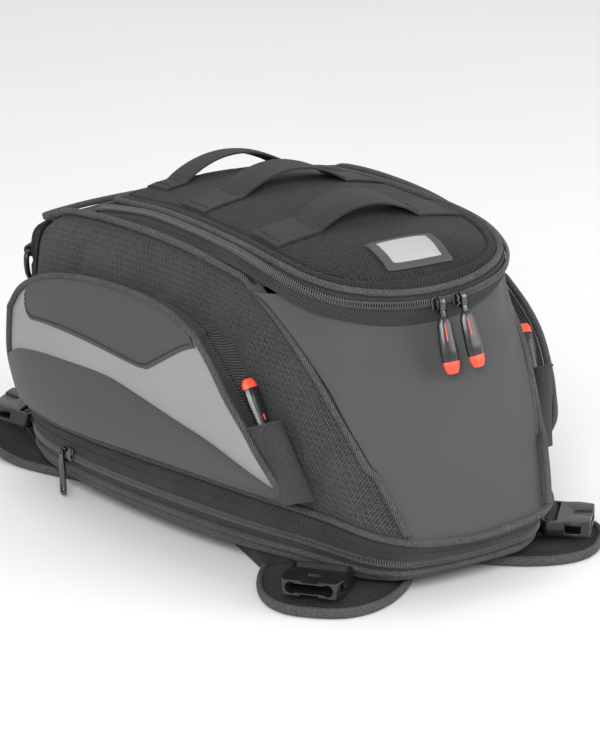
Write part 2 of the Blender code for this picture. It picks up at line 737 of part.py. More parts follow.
def make_pocket_cover(side, sign, body):
    grid = face_grid()
    normals = grid_normals(grid)
    wall = 2.0
    rim = rim_of(grid)
    last_row, last_column = len(grid) - 1, len(grid[0]) - 1
    middle = grid[last_row // 2][last_column // 2]
    bm = bmesh.new()
    outer = [[bm.verts.new(p) for p in row] for row in flip_grid(grid, sign)]
    inner_points = [[p - n * wall for p, n in zip(row, line)] for row, line in zip(grid, normals)]
    side_wall = side_grid(WALL_STEPS, WALL_STEPS)
    shrunk = [clear_of_wall(row, side_wall, 0) for row in pulled_in(inner_points, wall)]
    inner = [[bm.verts.new(p) for p in row] for row in flip_grid(shrunk, sign)]
    for surface in (outer, inner):
        for a, b in zip(surface, surface[1:]):
            bridge(bm, a, b, False)
    inner_rim = rim_of(shrunk)
    lip = [q + (p - q).normalized() * 1.0 for p, q in zip(rim, gusset_middle())]
    flat_rim = rim_of(inner_points)
    inside = clear_of_wall([p + (b - a) for p, a, b in zip(lip, flat_rim, inner_rim)],
                           side_wall, -ROOT_GAP + 0.8)
    lip_verts = [bm.verts.new(p) for p in flip(lip, sign)]
    inside_verts = [bm.verts.new(p) for p in flip(inside, sign)]
    bridge(bm, rim_of(outer), lip_verts, True)
    bridge(bm, lip_verts, inside_verts, True)
    bridge(bm, inside_verts, rim_of(inner), True)
    finish(bm, f"pocket_face_{side}", "reflective", body)

    proud = [p + (p - middle).normalized() * 0.9 + n * 1.9
             for p, n in zip(rim, rim_of(normals))]
    start = last_column
    tube(f"pocket_piping_{side}", "binding", flip(proud[start:] + proud[:1], sign), 1.6, False,
         body, sides=6)

    def lifted(places, high, low):
        return [[flip([face_place(grid, normals, u, v, lift) for u, v in row], sign)
                 for row in places] for lift in (high, low)]

    columns = FACE_COLUMNS
    pad = []
    for j in range(4):
        row = []
        for i in range(columns + 1):
            u = 0.02 + 0.95 * i / columns
            v = 0.03 + (edge_height(PAD_EDGE, u) - 0.03) * j / 3
            row.append((u, v))
        pad.append(row)
    sheet(f"pocket_pad_{side}", "softshell", lifted(pad, 4.4, 2.0), body)
    badge = []
    for a, b in zip(BADGE_REAR, BADGE_FRONT):
        badge.append([tuple(Vector((*a, 0)).lerp(Vector((*b, 0)), i / 8).xy) for i in range(9)])
    sheet(f"pocket_badge_{side}", "softshell", lifted(badge, 2.6, 1.2), body)


def flip_grid(grid, sign):
    return [flip(row, sign) for row in grid]


def make_pocket_gusset(side, sign):
    """The half of the gusset that stays on the side panel, from its rear foot to its front one."""
    root, seam = root_loop(), gusset_middle()
    middle = Vector((130, 60, 115))
    profiles = []
    for p, q in zip(root[FACE_COLUMNS:] + root[:1], seam[FACE_COLUMNS:] + seam[:1]):
        axis = (q - p).normalized()
        top = q - axis * 1.0
        low = p + axis * 0.6
        step = middle - p
        step = (step - axis * step.dot(axis)).normalized() * 1.4
        profiles.append([low, top, top + step, low + step])
    swept(f"pocket_gusset_{side}", "ripstop", [flip(profile, sign) for profile in profiles],
          False)


# Sliders and pulls. In their own frame the pin is along X at the origin, the tape lies towards
# +Y and the pull hangs towards -Z.

TAPE_TO_PIN = 7.0
SLIDER_WIDTH, SLIDER_LENGTH = 9.0, 12.0
PULL_WIDTH, PULL_DEPTH, PULL_LENGTH = 12.0, 6.0, 50.0
TIP_LENGTH = 9.0
PIN = 1.6
FLAT_TO_FRONT = Matrix(((1, 0, 0, 0), (0, 0, -1, 0), (0, 1, 0, 0), (0, 0, 0, 1)))
SIDEWAYS = Matrix(((0, 0, 1, 0), (-1, 0, 0, 0), (0, 1, 0, 0), (0, 0, 0, 1)))


def frame_of(place, back, up):
    """The frame at a place whose +Y points back to the tape and whose +Z points up."""
    columns = (back.cross(up), back, up, place)
    return Matrix([[column[row] for column in columns] for row in range(3)] + [[0, 0, 0, 1]])


def slider_outline():
    """The side view of a slider as (outwards, up): its two plates and the ears of its pin."""
    half = SLIDER_LENGTH / 2
    base = -TAPE_TO_PIN + 0.6
    return [(base, -half), (-2.4, -half), (-2.0, -half + 1.5), (2.0, -1.9), (2.0, 1.9),
            (-2.0, half - 1.5), (-2.4, half), (base, half)]


def make_slider(name, turn, body):
    made = prism(name, "slider_metal", slider_outline(), -SLIDER_WIDTH / 2, SLIDER_WIDTH / 2,
                 body, turn @ SIDEWAYS)
    pin = PIN / 2
    slots = (((-2.2, -4, pin), (2.2, 3.3, 9)), ((-2.2, -4, -9), (2.2, 3.3, -pin)),
             ((-2.2, -4, -9), (2.2, -pin, 9)), ((-2.2, pin, -9), (2.2, 3.3, 9)))
    for k, (low, high) in enumerate(slots):
        cut(made, f"{name}_slot_{k}", low, high, turn)


def pull_outline(length, tip):
    """Neck, waist and shoulders of a pull down to where its tip is moulded on."""
    half = PULL_WIDTH / 2
    return [(-1.7, 2.1), (-1.7, -7.6), (-half * 0.62, -9.5), (-half * 0.8, -13),
            (-half, -length * 0.66), (-half * 0.95, -length + tip), (half * 0.95, -length + tip),
            (half, -length * 0.66), (half * 0.8, -13), (half * 0.62, -9.5), (1.7, -7.6),
            (1.7, 2.1)]


def make_pull(name, turn, body, tip=TIP_LENGTH, tip_name=None):
    made = prism(name, "pull_plastic", pull_outline(PULL_LENGTH, tip), -PULL_DEPTH / 2,
                 PULL_DEPTH / 2, body, turn @ FLAT_TO_FRONT, bevel=0.8)
    hole = PIN / 2 + 0.4
    cut(made, f"{name}_eye", (-4, -hole, -hole), (4, hole, hole), turn)
    cut(made, f"{name}_neck_back", (-4, 1.9, -8.2), (4, 9, 4), turn)
    cut(made, f"{name}_neck_front", (-4, -9, -8.2), (4, -1.9, 4), turn)
    if tip_name:
        half = PULL_WIDTH / 2
        top = -PULL_LENGTH + tip - GAP
        outline = [(-half * 0.95, top), (-half * 0.9, top - tip * 0.55),
                   (-half * 0.55, top - tip + 0.6), (half * 0.75, top - tip + 0.6),
                   (half * 0.95, top - tip * 0.6), (half * 0.95, top)]
        prism(tip_name, "pull_tip", outline, -PULL_DEPTH / 2, PULL_DEPTH / 2, body,
              turn @ FLAT_TO_FRONT, bevel=0.8)


def zip_arc_axis():
    """The centre and direction of the circle that the front of the main zip lies on."""
    out = Vector((0, math.cos(ZIP_ARC_TILT), math.sin(ZIP_ARC_TILT)))
    return ZIP_FRONT + out * ZIP_ARC_RADIUS, Vector((0, -math.sin(ZIP_ARC_TILT),
                                                     math.cos(ZIP_ARC_TILT)))


MAIN_SLIDERS = (("left", 1.0), ("right", 19.0))
PULL_REST_LEAN = math.radians(18)


def make_main_sliders():
    centre, axis = zip_arc_axis()
    for side, x in MAIN_SLIDERS:
        angle = math.asin(x / ZIP_ARC_RADIUS)
        travel = pivot(f"main_slider_{side}_axis", centre)
        pin = Vector((0, ZIP_FRONT.y - 1.2 - TAPE_TO_PIN, ZIP_FRONT.z - 1.5))
        around = Matrix.Translation(centre) @ Matrix.Rotation(angle, 4, axis) \
            @ Matrix.Translation(-centre)
        turn = around @ Matrix.Translation(pin)
        make_slider(f"main_slider_{side}", turn, travel)
        hang = pivot(f"main_pull_{side}_axis", turn.to_translation())
        lean = turn @ Matrix.Rotation(-PULL_REST_LEAN, 4, "X")
        make_pull(f"main_pull_{side}", lean, hang, tip_name=f"main_pull_tip_{side}")


EXPANSION_SLIDER = (129.0, 0.58)  # place along Y and height share on the base band, left side


def make_expansion_slider():
    along, height = EXPANSION_SLIDER
    ring = band_ring(height, 0)
    a, b = next((a, b) for a, b in zip(ring, ring[1:])
                if b.x < 0 and (a.y - along) * (b.y - along) <= 0)
    place = a.lerp(b, (along - a.y) / (b.y - a.y))
    out = (b - a).cross(Vector((0, 0, 1))).normalized()
    out = out if out.x < 0 else -out
    step = -out
    pin = place + out * (TAPE_TO_PIN + 0.4)
    turn = frame_of(pin, step, Vector((0, 0, 1)))
    travel = pivot("expansion_slider_place", pin)
    make_slider("expansion_slider", turn, travel)
    hang = pivot("expansion_pull_axis", pin)
    outline = [(-1.7, 2.1), (-1.7, -7), (-4.2, -10), (-3.6, -33), (-2.0, -35), (2.0, -35),
               (3.6, -33), (4.2, -10), (1.7, -7), (1.7, 2.1)]
    made = prism("expansion_pull", "slider_metal", outline, -1.8, 1.8, hang,
                 turn @ FLAT_TO_FRONT)
    hole = PIN / 2 + 0.4
    cut(made, "expansion_pull_eye", (-4, -hole, -hole), (4, hole, hole), turn)
    cut(made, "expansion_pull_slot", (-1.6, -4, -31), (1.6, 4, -16), turn)
    return pin, turn


# Pocket zip: the pull lies tip up against the front of the gusset, its lower end in the garage.

RUN_TILT = math.radians(7.5)  # how far the run leans out from the seam
RUN_ROWS = (2, 5)  # rows of the face's front edge between which the zip runs straight


def pocket_run():
    """Start of the pocket zip's straight run, and its directions along, outwards and across."""
    rim, root, seam = rim_of(face_grid()), root_loop(), gusset_middle()
    low, high = (FACE_COLUMNS + row for row in RUN_ROWS)
    start, end = seam[low], seam[high]
    along = (end - start).normalized()
    across = (rim[low] - root[low]).normalized() + (rim[high] - root[high]).normalized()
    across = (across - along * across.dot(along)).normalized()
    out = along.cross(across)
    out = out if out.y < 0 else -out
    tilt = Matrix.Rotation(-RUN_TILT, 3, across)
    if (tilt @ along).dot(out) < 0:
        tilt.invert()
    return start, tilt @ along, tilt @ out, across


PULL_SEAT = 8.0  # distance along the run from its start to the slider's pin
GARAGE = (
    # distance along the run, half width, height, lift of the sewn edges off the seam line
    (-32, 9, 6, 17.0), (-22, 10, 8, 14.4), (-8, 11.5, 10, 11.2), (6, 12, 11, 9.0),
    (20, 12, 11, 8.6))


def make_pocket_zip(side, sign, body):
    start, along, out, _ = pocket_run()
    pin = start + along * PULL_SEAT + out * (TAPE_TO_PIN + 5.0)
    pin.x *= sign
    along, out = (Vector((v.x * sign, v.y, v.z)) for v in (along, out))
    travel = pivot(f"pocket_slider_{side}_place", pin)
    turn = frame_of(pin, -out, along)
    half, plate = PULL_WIDTH / 2, SLIDER_LENGTH / 2
    outline = [(-TAPE_TO_PIN + 0.6, -plate), (-2.4, -plate), (2.6, -2.4), (2.8, 6), (2.8, 50),
               (-1.6, 50), (-2.6, 12), (-2.6, plate), (-TAPE_TO_PIN + 0.6, plate)]
    made = prism(f"pocket_zip_pull_{side}", "pull_plastic", outline, -half * 0.9, half * 0.9,
                 travel, turn @ SIDEWAYS, bevel=0.7)
    return made


def make_garage(side, sign, body):
    start, along, out, across = pocket_run()
    sections = []
    for distance, half, height, lift in GARAGE:
        centre = start + along * distance + out * lift
        section = []
        for radius in (1.0, 0.0):
            arc = [math.pi * k / 6 for k in range(7)]
            grow = 1.3 * radius
            points = [centre + across * (half - 1.3 + grow) * math.cos(t)
                      + out * (height - 1.3 + grow) * math.sin(t) ** 0.7 for t in arc]
            section += points if radius else points[::-1]
        sections.append(flip(section, sign))
    swept(f"zip_garage_{side}", "ripstop", sections, False, body)


# Rear corner rings.

RING_BAR = Vector((137, 224, 177))


def make_ring(side, sign):
    out = Vector((0.66, 0.75, 0)).normalized()
    wide = Vector((out.y, -out.x, 0))
    hang = pivot(f"ring_{side}_axis", Vector((RING_BAR.x * sign, RING_BAR.y, RING_BAR.z)))
    down = Vector((0, 0, -1))
    path = [RING_BAR + wide * a + down * b for a, b in (
        (-14, 0), (-7, 0), (0, 0), (7, 0), (14, 0), (16.5, 2.5), (16.5, 9), (14, 16),
        (8, 21.5), (0, 23.5), (-8, 21.5), (-14, 16), (-16.5, 9), (-16.5, 2.5))]
    tube(f"corner_ring_{side}", "buckle_plastic", flip(path, sign), 2.1, True, hang, sides=6)
    profile = [(-11.5, 5.6), (-2, 4.2), (3.2, 3.6), (4.6, 0), (3.2, -3.6), (-2, -4.2),
               (-11.5, -5.6), (-11.5, -4.0), (-2, -2.8), (2.2, -2.6), (3.2, 0), (2.2, 2.6),
               (-2, 2.8), (-11.5, 4.0)]
    ends = [[RING_BAR + wide * a + out * x + Vector((0, 0, z)) for x, z in profile]
            for a in (-9.5, 9.5)]
    swept(f"ring_tab_{side}", "webbing", [flip(end, sign) for end in ends], False)


# The harness: a saddle under the base and four wings that fold down over the fuel tank.

WINGS = (
    # name, root middle, direction in degrees from +X, length, buckle bar, rise of the tip, perch
    ("front_left", (-72, -137), -133.0, 78.0, 36.0, 0.0, 4.0),
    ("front_right", (72, -137), -47.0, 78.0, 36.0, 0.0, 4.0),
    ("rear_left", (-85, 160), 123.0, 139.0, 98.0, 14.0, 14.0),
    ("rear_right", (85, 160), 57.0, 139.0, 98.0, 14.0, 14.0),
)


def wing_frame(root, degrees):
    return Matrix.Translation((*root, 0)) @ Matrix.Rotation(math.radians(degrees), 4, "Z")


def wing_rise(x, length, rise):
    start = length * 0.5
    return rise * max(0.0, (x - start) / (length - start)) ** 2


def make_wing(name, root, degrees, length, rise):
    turn = wing_frame(root, degrees)
    fold = pivot(f"wing_{name}_axis", (*root, 0), Matrix.Rotation(math.radians(degrees), 4, "Z"))
    steps = 11
    rows = []
    for k in range(steps + 1):
        t = k / steps
        x = 0.8 + (length - 0.8) * math.sin(math.pi / 2 * t)
        half = WING_HALF_WIDTH * math.cos(math.pi / 2 * t) ** 0.72
        if k == steps:
            half = 6.0
        lift = wing_rise(x, length, rise)
        trim = 1.6
        rows.append([turn @ Vector(p) for p in (
            (x, -half, lift + trim), (x, -half + trim, lift), (x, half - trim, lift),
            (x, half, lift + trim), (x, half, lift + WING_THICK - trim),
            (x, half - trim, lift + WING_THICK), (x, -half + trim, lift + WING_THICK),
            (x, -half, lift + WING_THICK - trim))])
    swept(f"wing_{name}", "lid_fabric", rows, False, fold)
    return turn, fold


BUCKLE_TURN = math.radians(6)  # how much further sideways than its wing a buckle points
BUCKLE_WIDTH, BUCKLE_LENGTH, BUCKLE_HEIGHT = 46.0, 36.0, 12.0
BAR_HEIGHT = 14.8


def make_buckle(name, turn, fold, length, bar, rise, perch):
    """The female half of a side-release buckle and the webbing loop that it is perched on."""
    outwards = 1 if name in ("front_right", "rear_left") else -1
    rise_angle = math.atan2(wing_rise(length, length, rise) - wing_rise(bar, length, rise),
                            length - bar) * 0.7
    lift = wing_rise((bar + length) / 2, length, rise) * 0.6
    place = turn @ Matrix.Translation((bar, 2.0 * outwards, 0)) \
        @ Matrix.Rotation(BUCKLE_TURN * outwards, 4, "Z") @ Matrix.Rotation(-rise_angle, 4, "Y")
    local = place @ Matrix.Translation((0, 0, BAR_HEIGHT + perch + lift))
    tilt = pivot(f"buckle_{name}_axis", local.to_translation(),
                 local.to_3x3().to_4x4())
    low, high = -BUCKLE_HEIGHT / 2, BUCKLE_HEIGHT / 2
    outline = rounded_rectangle(-2.0, BUCKLE_LENGTH - 2.0, -BUCKLE_WIDTH / 2, BUCKLE_WIDTH / 2, 4, 2)
    made = prism(f"buckle_{name}", "buckle_plastic", outline, low, high, tilt, local, bevel=1.2)
    slot = WEBBING / 2 + 1
    cut(made, f"buckle_{name}_slot_front", (2.0, -slot, -9), (9.0, slot, 9), local)
    cut(made, f"buckle_{name}_slot_top", (-3.0, -slot, 2.0), (3, slot, 9), local)
    cut(made, f"buckle_{name}_slot_low", (-3.0, -slot, -9), (3, slot, -2.0), local)
    cut(made, f"buckle_{name}_mouth", (12, -18.5, -4.2), (60, 18.5, 4.2), local)
    for side, _ in SIDES:
        y = (-30, -14) if side == "left" else (14, 30)
        cut(made, f"buckle_{name}_window_{side}", (15, y[0], -2.9), (29, y[1], 2.9), local)
    foot = GAP + WING_THICK - BAR_HEIGHT - perch
    outer = [(-30, foot), (-11, foot), (-4.2, -7.2), (3.4, -5.6), (6.6, -3.4), (7.4, 0),
             (6.6, 3.4), (3.4, 5.6), (-2.4, 5.6), (-5.4, 3.2), (-6.9, -4.6),
             (-13, foot + 3.2), (-30, foot + 3.2)]
    inner = [(-30, foot + 1.5), (-11.9, foot + 1.5), (-4.9, -5.9), (2.6, -4.1), (5.0, -2.6),
             (5.7, 0), (5.0, 2.6), (2.6, 4.1), (-1.6, 4.1), (-4.0, 2.4), (-5.5, -5.3),
             (-12.1, foot + 1.9), (-30, foot + 1.9)]
    flat = place @ Matrix.Rotation(rise_angle, 4, "Y")

    def strap_point(x, y, z):
        if x > -9:
            return local @ Vector((x, y, z))
        return flat @ Vector((x, y, BAR_HEIGHT + perch + z + wing_rise(bar + x + 2, length, rise)))

    edges = (-WEBBING / 2, WEBBING / 2)
    sheet(f"buckle_strap_{name}", "webbing",
          [[[strap_point(x, y, z) for x, z in path] for y in edges] for path in (outer, inner)],
          fold)


def make_saddle():
    half = [(0, -128), (24, -160)]
    for name, root, degrees, *_ in WINGS[1::2]:
        turn = wing_frame(root, degrees)
        front = name.startswith("front")
        ends = [turn @ Vector((-1.0, y, 0)) for y in (-WING_HALF_WIDTH, WING_HALF_WIDTH)]
        half += [(p.x, p.y) for p in ends]
        if front:
            half += [(104, -40), (100, 30), (108, 90)]
    half += [(20, 168), (0, 150)]
    outline = half + [(-x, y) for x, y in half[-2:0:-1]]
    prism("harness_saddle", "lid_fabric", outline, 0, SADDLE_THICK)


def main():
    clear_scene()
    make_base()
    make_shell_skirt()
    make_panels()
    make_body_piping()
    make_top_gusset()
    lid = pivot("lid_axis", (0, 177, 218))
    make_lid(lid)
    make_main_zip()
    make_lid_straps(lid)
    make_main_sliders()
    make_expansion_slider()
    for side, sign in SIDES:
        cover = pivot(f"pocket_cover_{side}_axis", (165 * sign, 100, 62))
        make_pocket_cover(side, sign, cover)
        make_pocket_gusset(side, sign)
        make_pocket_zip(side, sign, cover)
        make_garage(side, sign, cover)
        make_ring(side, sign)
    make_saddle()
    for name, root, degrees, length, bar, rise, perch in WINGS:
        turn, fold = make_wing(name, root, degrees, length, rise)
        make_buckle(name, turn, fold, length, bar, rise, perch)


main()
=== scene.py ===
"""Looks of the expandable motorcycle tank bag: fabric skins, zips, webbing and hardware.

The curves below are the bag's design in millimetres, as points (x, y, z) on the +X side. Meshes
are scaled to metres when they are made. -Y is the sloping front and left is -X.
"""

import math

import bmesh
import bpy
from mathutils import Matrix, Vector
from mathutils.geometry import intersect_line_line_2d


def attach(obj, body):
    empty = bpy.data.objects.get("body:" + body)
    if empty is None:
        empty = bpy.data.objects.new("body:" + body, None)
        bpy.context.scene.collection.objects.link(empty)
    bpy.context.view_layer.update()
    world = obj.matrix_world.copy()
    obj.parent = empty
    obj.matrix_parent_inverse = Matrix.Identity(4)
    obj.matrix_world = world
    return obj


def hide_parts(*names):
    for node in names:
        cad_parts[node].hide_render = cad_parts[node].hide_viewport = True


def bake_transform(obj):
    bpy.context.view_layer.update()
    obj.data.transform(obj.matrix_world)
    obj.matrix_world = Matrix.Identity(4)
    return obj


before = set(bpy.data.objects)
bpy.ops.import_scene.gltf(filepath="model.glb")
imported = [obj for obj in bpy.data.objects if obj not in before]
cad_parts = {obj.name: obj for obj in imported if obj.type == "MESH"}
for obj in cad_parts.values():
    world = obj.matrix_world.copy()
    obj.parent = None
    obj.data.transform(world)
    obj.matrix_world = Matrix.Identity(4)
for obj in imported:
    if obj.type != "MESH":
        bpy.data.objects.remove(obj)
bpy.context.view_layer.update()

MM = 0.001
SIDES = (("left", -1), ("right", 1))
IDENTITY = Matrix.Identity(4)

WEBBING = 38.0
WEBBING_THICK = 1.8
BAND_PIPING = 2.7  # radius of the twill piping above and below the expansion zip
BODY_PIPING = 2.6
LID_PIPING = 2.5
POCKET_PIPING = 2.5
LID_THICK = 5.0
SHELL_CENTRE = Vector((0, 10, 110))
WING_HALF_WIDTH = 56.0

# The base runs from the middle of the rear to the middle of the front.
BASE_TOP = [(0, 221, 57), (100, 221, 57), (142, 219, 57), (158, 206, 57), (165, 165, 57),
            (159, 105, 57), (143, 35, 57), (125, -30, 57), (107, -92, 56), (91, -143, 55),
            (77, -194, 53), (58, -214, 50), (36, -216, 46), (0, -216, 43)]
BASE_BOTTOM = [(0, 217, 12), (100, 217, 12), (139, 213, 12), (152, 198, 12), (158, 160, 12),
               (154, 105, 12), (144, 40, 12), (131, -20, 12), (114, -75, 12), (93, -128, 12),
               (76, -170, 12), (56, -190, 12), (36, -194, 12), (0, -195, 12)]
REAR_CORNER, FRONT_CORNER = 2.6, 11.0

# The lid and its zip run from the middle of the front to the rear corner.
LID_EDGE = [(0, -155, 213), (34, -152, 215), (64, -140, 220), (82, -120, 226), (91, -87, 232),
            (93, -46, 235), (93, 24, 235), (93, 90, 232), (94, 145, 226), (89, 166, 223)]
LID_REAR = [(60, 173, 224), (0, 174, 226)]
ZIP_LINE = [(0, -157, 205), (34, -153.3, 206.7), (66, -142.5, 211.8), (86, -122, 219),
            (96, -87, 227), (98, -46, 231), (98, 24, 231), (98, 90, 228), (100, 148, 220),
            (101, 172, 215)]
BAND_LOW = [(0, -153, 192), (34, -149.5, 194), (64, -139, 200), (86, -121, 208), (99, -87, 219),
            (104, -46, 225), (105, 24, 225), (106, 90, 222), (109, 148, 213), (111, 174, 207)]
SPINE_HEIGHTS = [(-95, 241), (-50, 246), (0, 248), (60, 247), (130, 240)]

TOP_EDGE = [(100, -80, 213), (106, -42, 218), (112, 0, 223), (117, 56, 224), (122, 125, 221),
            (126, 176, 215), (128, 197, 207)]
FRONT_EDGE = [(100, -80, 213), (91, -103, 191), (85, -139, 161), (79, -163, 133),
              (72, -183, 106), (65, -201, 76)]
REAR_EDGE = [(128, 197, 207), (140, 206, 190), (147, 211, 130)]
REAR_TOP = [(128, 197, 207), (90, 210, 209), (0, 214, 210)]
YOKE_INNER = [(111, 178, 206), (60, 179, 212), (0, 179.5, 214)]
HINGE_TOP = [(93, 167, 219.5), (60, 172, 220.5), (0, 173, 222)]
FRONT_TOP = [(100, -80, 213), (95, -100, 211), (84, -120, 205), (64, -137, 198), (34, -148, 192),
             (0, -151.5, 190)]

# Side pocket: the piped edge of its face, and the line where its gusset leaves the side panel.
FACE_REAR = [(166, 200, 66), (170, 206, 100), (169, 204, 138)]
FACE_TOP = [(169, 204, 138), (166, 184, 159), (159, 150, 174), (150, 100, 182), (141, 45, 184),
            (137, -8, 182), (136, -48, 173)]
FACE_FRONT = [(136, -48, 173), (137, -75, 156), (136.5, -94, 139), (132, -112, 119),
              (128, -123, 103), (121, -134, 84), (109, -128, 64)]
FACE_BOTTOM = [(166, 200, 66), (171, 165, 63), (167, 105, 62), (151, 38, 62), (133, -28, 62),
               (121, -78, 63), (109, -128, 64)]
ROOT_REAR = [(152, 202, 66), (149, 203, 100), (143, 196, 146)]
ROOT_TOP = [(143, 196, 146), (138, 180, 160), (132, 140, 176), (126, 84, 184), (120, 41, 186),
            (111.5, -14, 184), (107.5, -42, 176)]
ROOT_FRONT = [(107.5, -42, 176), (105, -68, 158), (103, -95, 134), (99, -118, 104),
              (92, -136, 68)]
FACE_BULGE = 9.0
GUSSET_BULGE = 8.0
ZIP_SHARE = 0.5

# Places on the pocket face as shares of its length from the rear and of its height.
PAD_EDGE = [(0.0, 0.45), (0.07, 0.5), (0.19, 0.5), (0.34, 0.49), (0.51, 0.47), (0.61, 0.42),
            (0.74, 0.34), (0.83, 0.28), (0.9, 0.2), (0.98, 0.1)]
YOKE_EDGE = [(0.13, 0.99), (0.125, 0.9), (0.135, 0.8), (0.16, 0.735), (0.2, 0.705),
             (0.43, 0.64), (0.61, 0.588), (0.665, 0.582), (0.71, 0.61), (0.95, 0.87)]


# Materials.

CLOTH_GLOSS = 0.2
SKIN_GLOSS = 0.4

class Nodes:
    """Short calls that build one material's nodes. Lengths on a surface are metres of its weave."""

    def __init__(self, name):
        self.material = bpy.data.materials.new(name)
        self.material.use_nodes = True
        self.tree = self.material.node_tree
        self.shader = self.tree.nodes["Principled BSDF"]

    def add(self, kind, **settings):
        node = self.tree.nodes.new(kind)
        for key, value in settings.items():
            setattr(node, key, value)
        return node

    def feed(self, socket, value):
        if isinstance(value, bpy.types.NodeSocket):
            self.tree.links.new(value, socket)
        else:
            socket.default_value = value

    def math(self, operation, *values):
        node = self.add("ShaderNodeMath", operation=operation)
        for socket, value in zip(node.inputs, values):
            self.feed(socket, value)
        return node.outputs[0]

    def weave(self):
        """The two lengths along a surface, warp and weft."""
        place = self.add("ShaderNodeUVMap", uv_map="weave")
        split = self.add("ShaderNodeSeparateXYZ")
        self.feed(split.inputs[0], place.outputs[0])
        return split.outputs[0], split.outputs[1]

    def noise(self, scale, detail=2.0, roughness=0.5):
        place = self.add("ShaderNodeTexCoord")
        node = self.add("ShaderNodeTexNoise")
        self.feed(node.inputs["Vector"], place.outputs["Object"])
        node.inputs["Scale"].default_value = scale
        node.inputs["Detail"].default_value = detail
        node.inputs["Roughness"].default_value = roughness
        return node.outputs["Fac"]

    def wave(self, length, pitch, phase=0.0):
        return self.math("SINE", self.math("MULTIPLY_ADD", length, math.tau / pitch, phase))

    def colour(self, dark, light, share):
        node = self.add("ShaderNodeMix", data_type="RGBA")
        self.feed(node.inputs["Factor"], share)
        node.inputs[6].default_value = (*dark, 1)
        node.inputs[7].default_value = (*light, 1)
        return node.outputs[2]

    def bump(self, height, depth):
        """Raises the surface by a height from 0 to 1 times a depth in millimetres."""
        node = self.add("ShaderNodeBump")
        node.inputs["Distance"].default_value = depth * MM
        self.feed(node.inputs["Height"], height)
        self.feed(self.shader.inputs["Normal"], node.outputs[0])

    def finish(self, colour, roughness, metallic=0.0, sheen=0.0, coat=0.0, gloss=0.5):
        self.feed(self.shader.inputs["Base Color"], colour)
        self.feed(self.shader.inputs["Roughness"], roughness)
        self.shader.inputs["Metallic"].default_value = metallic
        self.shader.inputs["Specular IOR Level"].default_value = gloss
        self.shader.inputs["Sheen Weight"].default_value = sheen
        self.shader.inputs["Sheen Roughness"].default_value = 0.5
        self.shader.inputs["Coat Weight"].default_value = coat
        return self.material


def shade(colour, factor):
    return tuple(min(1.0, c * factor) for c in colour)


def plain_threads(n, warp, weft, pitch):
    """A plain weave: threads pass over and under each other like a chessboard."""
    return n.math("MULTIPLY", n.wave(warp, pitch), n.wave(weft, pitch))


def twill_threads(n, warp, weft, pitch):
    """A twill: diagonal ribs, each broken by the thread that crosses it."""
    rib = n.wave(n.math("ADD", warp, weft), pitch)
    cross = n.wave(n.math("SUBTRACT", warp, weft), pitch * 0.8)
    return n.math("MULTIPLY_ADD", cross, 0.35, n.math("MULTIPLY", rib, 0.65))


def chevron_threads(n, warp, weft, pitch):
    """Ribs across a tape that lean one way on each side of its middle."""
    side = n.math("ABSOLUTE", weft)
    return n.wave(n.math("ADD", warp, n.math("MULTIPLY", side, 0.9)), pitch)


def webbing_threads(n, warp, weft, pitch):
    """Webbing: cords along the strap, and the thicker picks across it."""
    picks = n.math("ABSOLUTE", n.wave(warp, pitch * 2))
    cords = n.math("ABSOLUTE", n.wave(weft, pitch * 2.2))
    share = n.math("MULTIPLY_ADD", cords, 0.7, 0.3)
    return n.math("SUBTRACT", n.math("MULTIPLY", picks, share), 0.3)


def fabric(name, colour, threads, pitch, depth, contrast=0.5, roughness=0.92, sheen=0.05,
           grid=0.0, slub=0.35):
    """Cloth: threads at a pitch and depth in millimetres, slubs, and thick threads on a grid."""
    n = Nodes(name)
    warp, weft = n.weave()
    woven = threads(n, warp, weft, pitch * MM)
    height = n.math("MULTIPLY_ADD", woven, 0.5, 0.5)
    if grid:
        lines = [n.math("POWER", n.math("ABSOLUTE", n.wave(length, 2 * grid * MM)), 40.0)
                 for length in (warp, weft)]
        height = n.math("MULTIPLY_ADD", n.math("MAXIMUM", *lines), 0.45, height)
    fibre = n.noise(620, 2.0, 0.7)
    cloud = n.noise(26, 3.0)
    share = n.math("MULTIPLY_ADD", height, contrast, (1 - contrast) * 0.5)
    share = n.math("MULTIPLY_ADD", n.math("SUBTRACT", fibre, 0.5), slub * 1.6, share)
    share = n.math("MULTIPLY_ADD", n.math("SUBTRACT", cloud, 0.5), 0.35, share)
    tint = n.colour(shade(colour, 0.12), shade(colour, 2.3), share)
    n.bump(n.math("MULTIPLY_ADD", fibre, 0.4, height), depth)
    return n.finish(tint, roughness, sheen=sheen, gloss=CLOTH_GLOSS)


def coated(name, colour, grain, depth, roughness, sheen=0.0, contrast=0.25):
    """A smooth skin such as softshell, reflective film or moulded rubber, with a fine grain."""
    n = Nodes(name)
    fine = n.noise(grain, 2.0, 0.6)
    cloud = n.noise(14, 2.0)
    share = n.math("MULTIPLY_ADD", fine, contrast, 0.5 - contrast / 2)
    share = n.math("MULTIPLY_ADD", n.math("SUBTRACT", cloud, 0.5), 0.3, share)
    tint = n.colour(shade(colour, 0.7), shade(colour, 1.3), share)
    n.bump(fine, depth)
    rough = n.math("MULTIPLY_ADD", cloud, 0.12, roughness - 0.06)
    return n.finish(tint, rough, sheen=sheen, gloss=SKIN_GLOSS)


def moulded(name, colour, roughness, metallic=0.0, coat=0.0, depth=0.04):
    """Plastic or metal: a faint moulding grain, and a roughness that wanders a little."""
    n = Nodes(name)
    grain = n.noise(900, 2.0, 0.6)
    wear = n.noise(120, 3.0, 0.6)
    tint = n.colour(shade(colour, 0.8), shade(colour, 1.35), wear)
    n.bump(grain, depth)
    rough = n.math("MULTIPLY_ADD", wear, 0.16, roughness - 0.08)
    return n.finish(tint, rough, metallic=metallic, coat=coat)


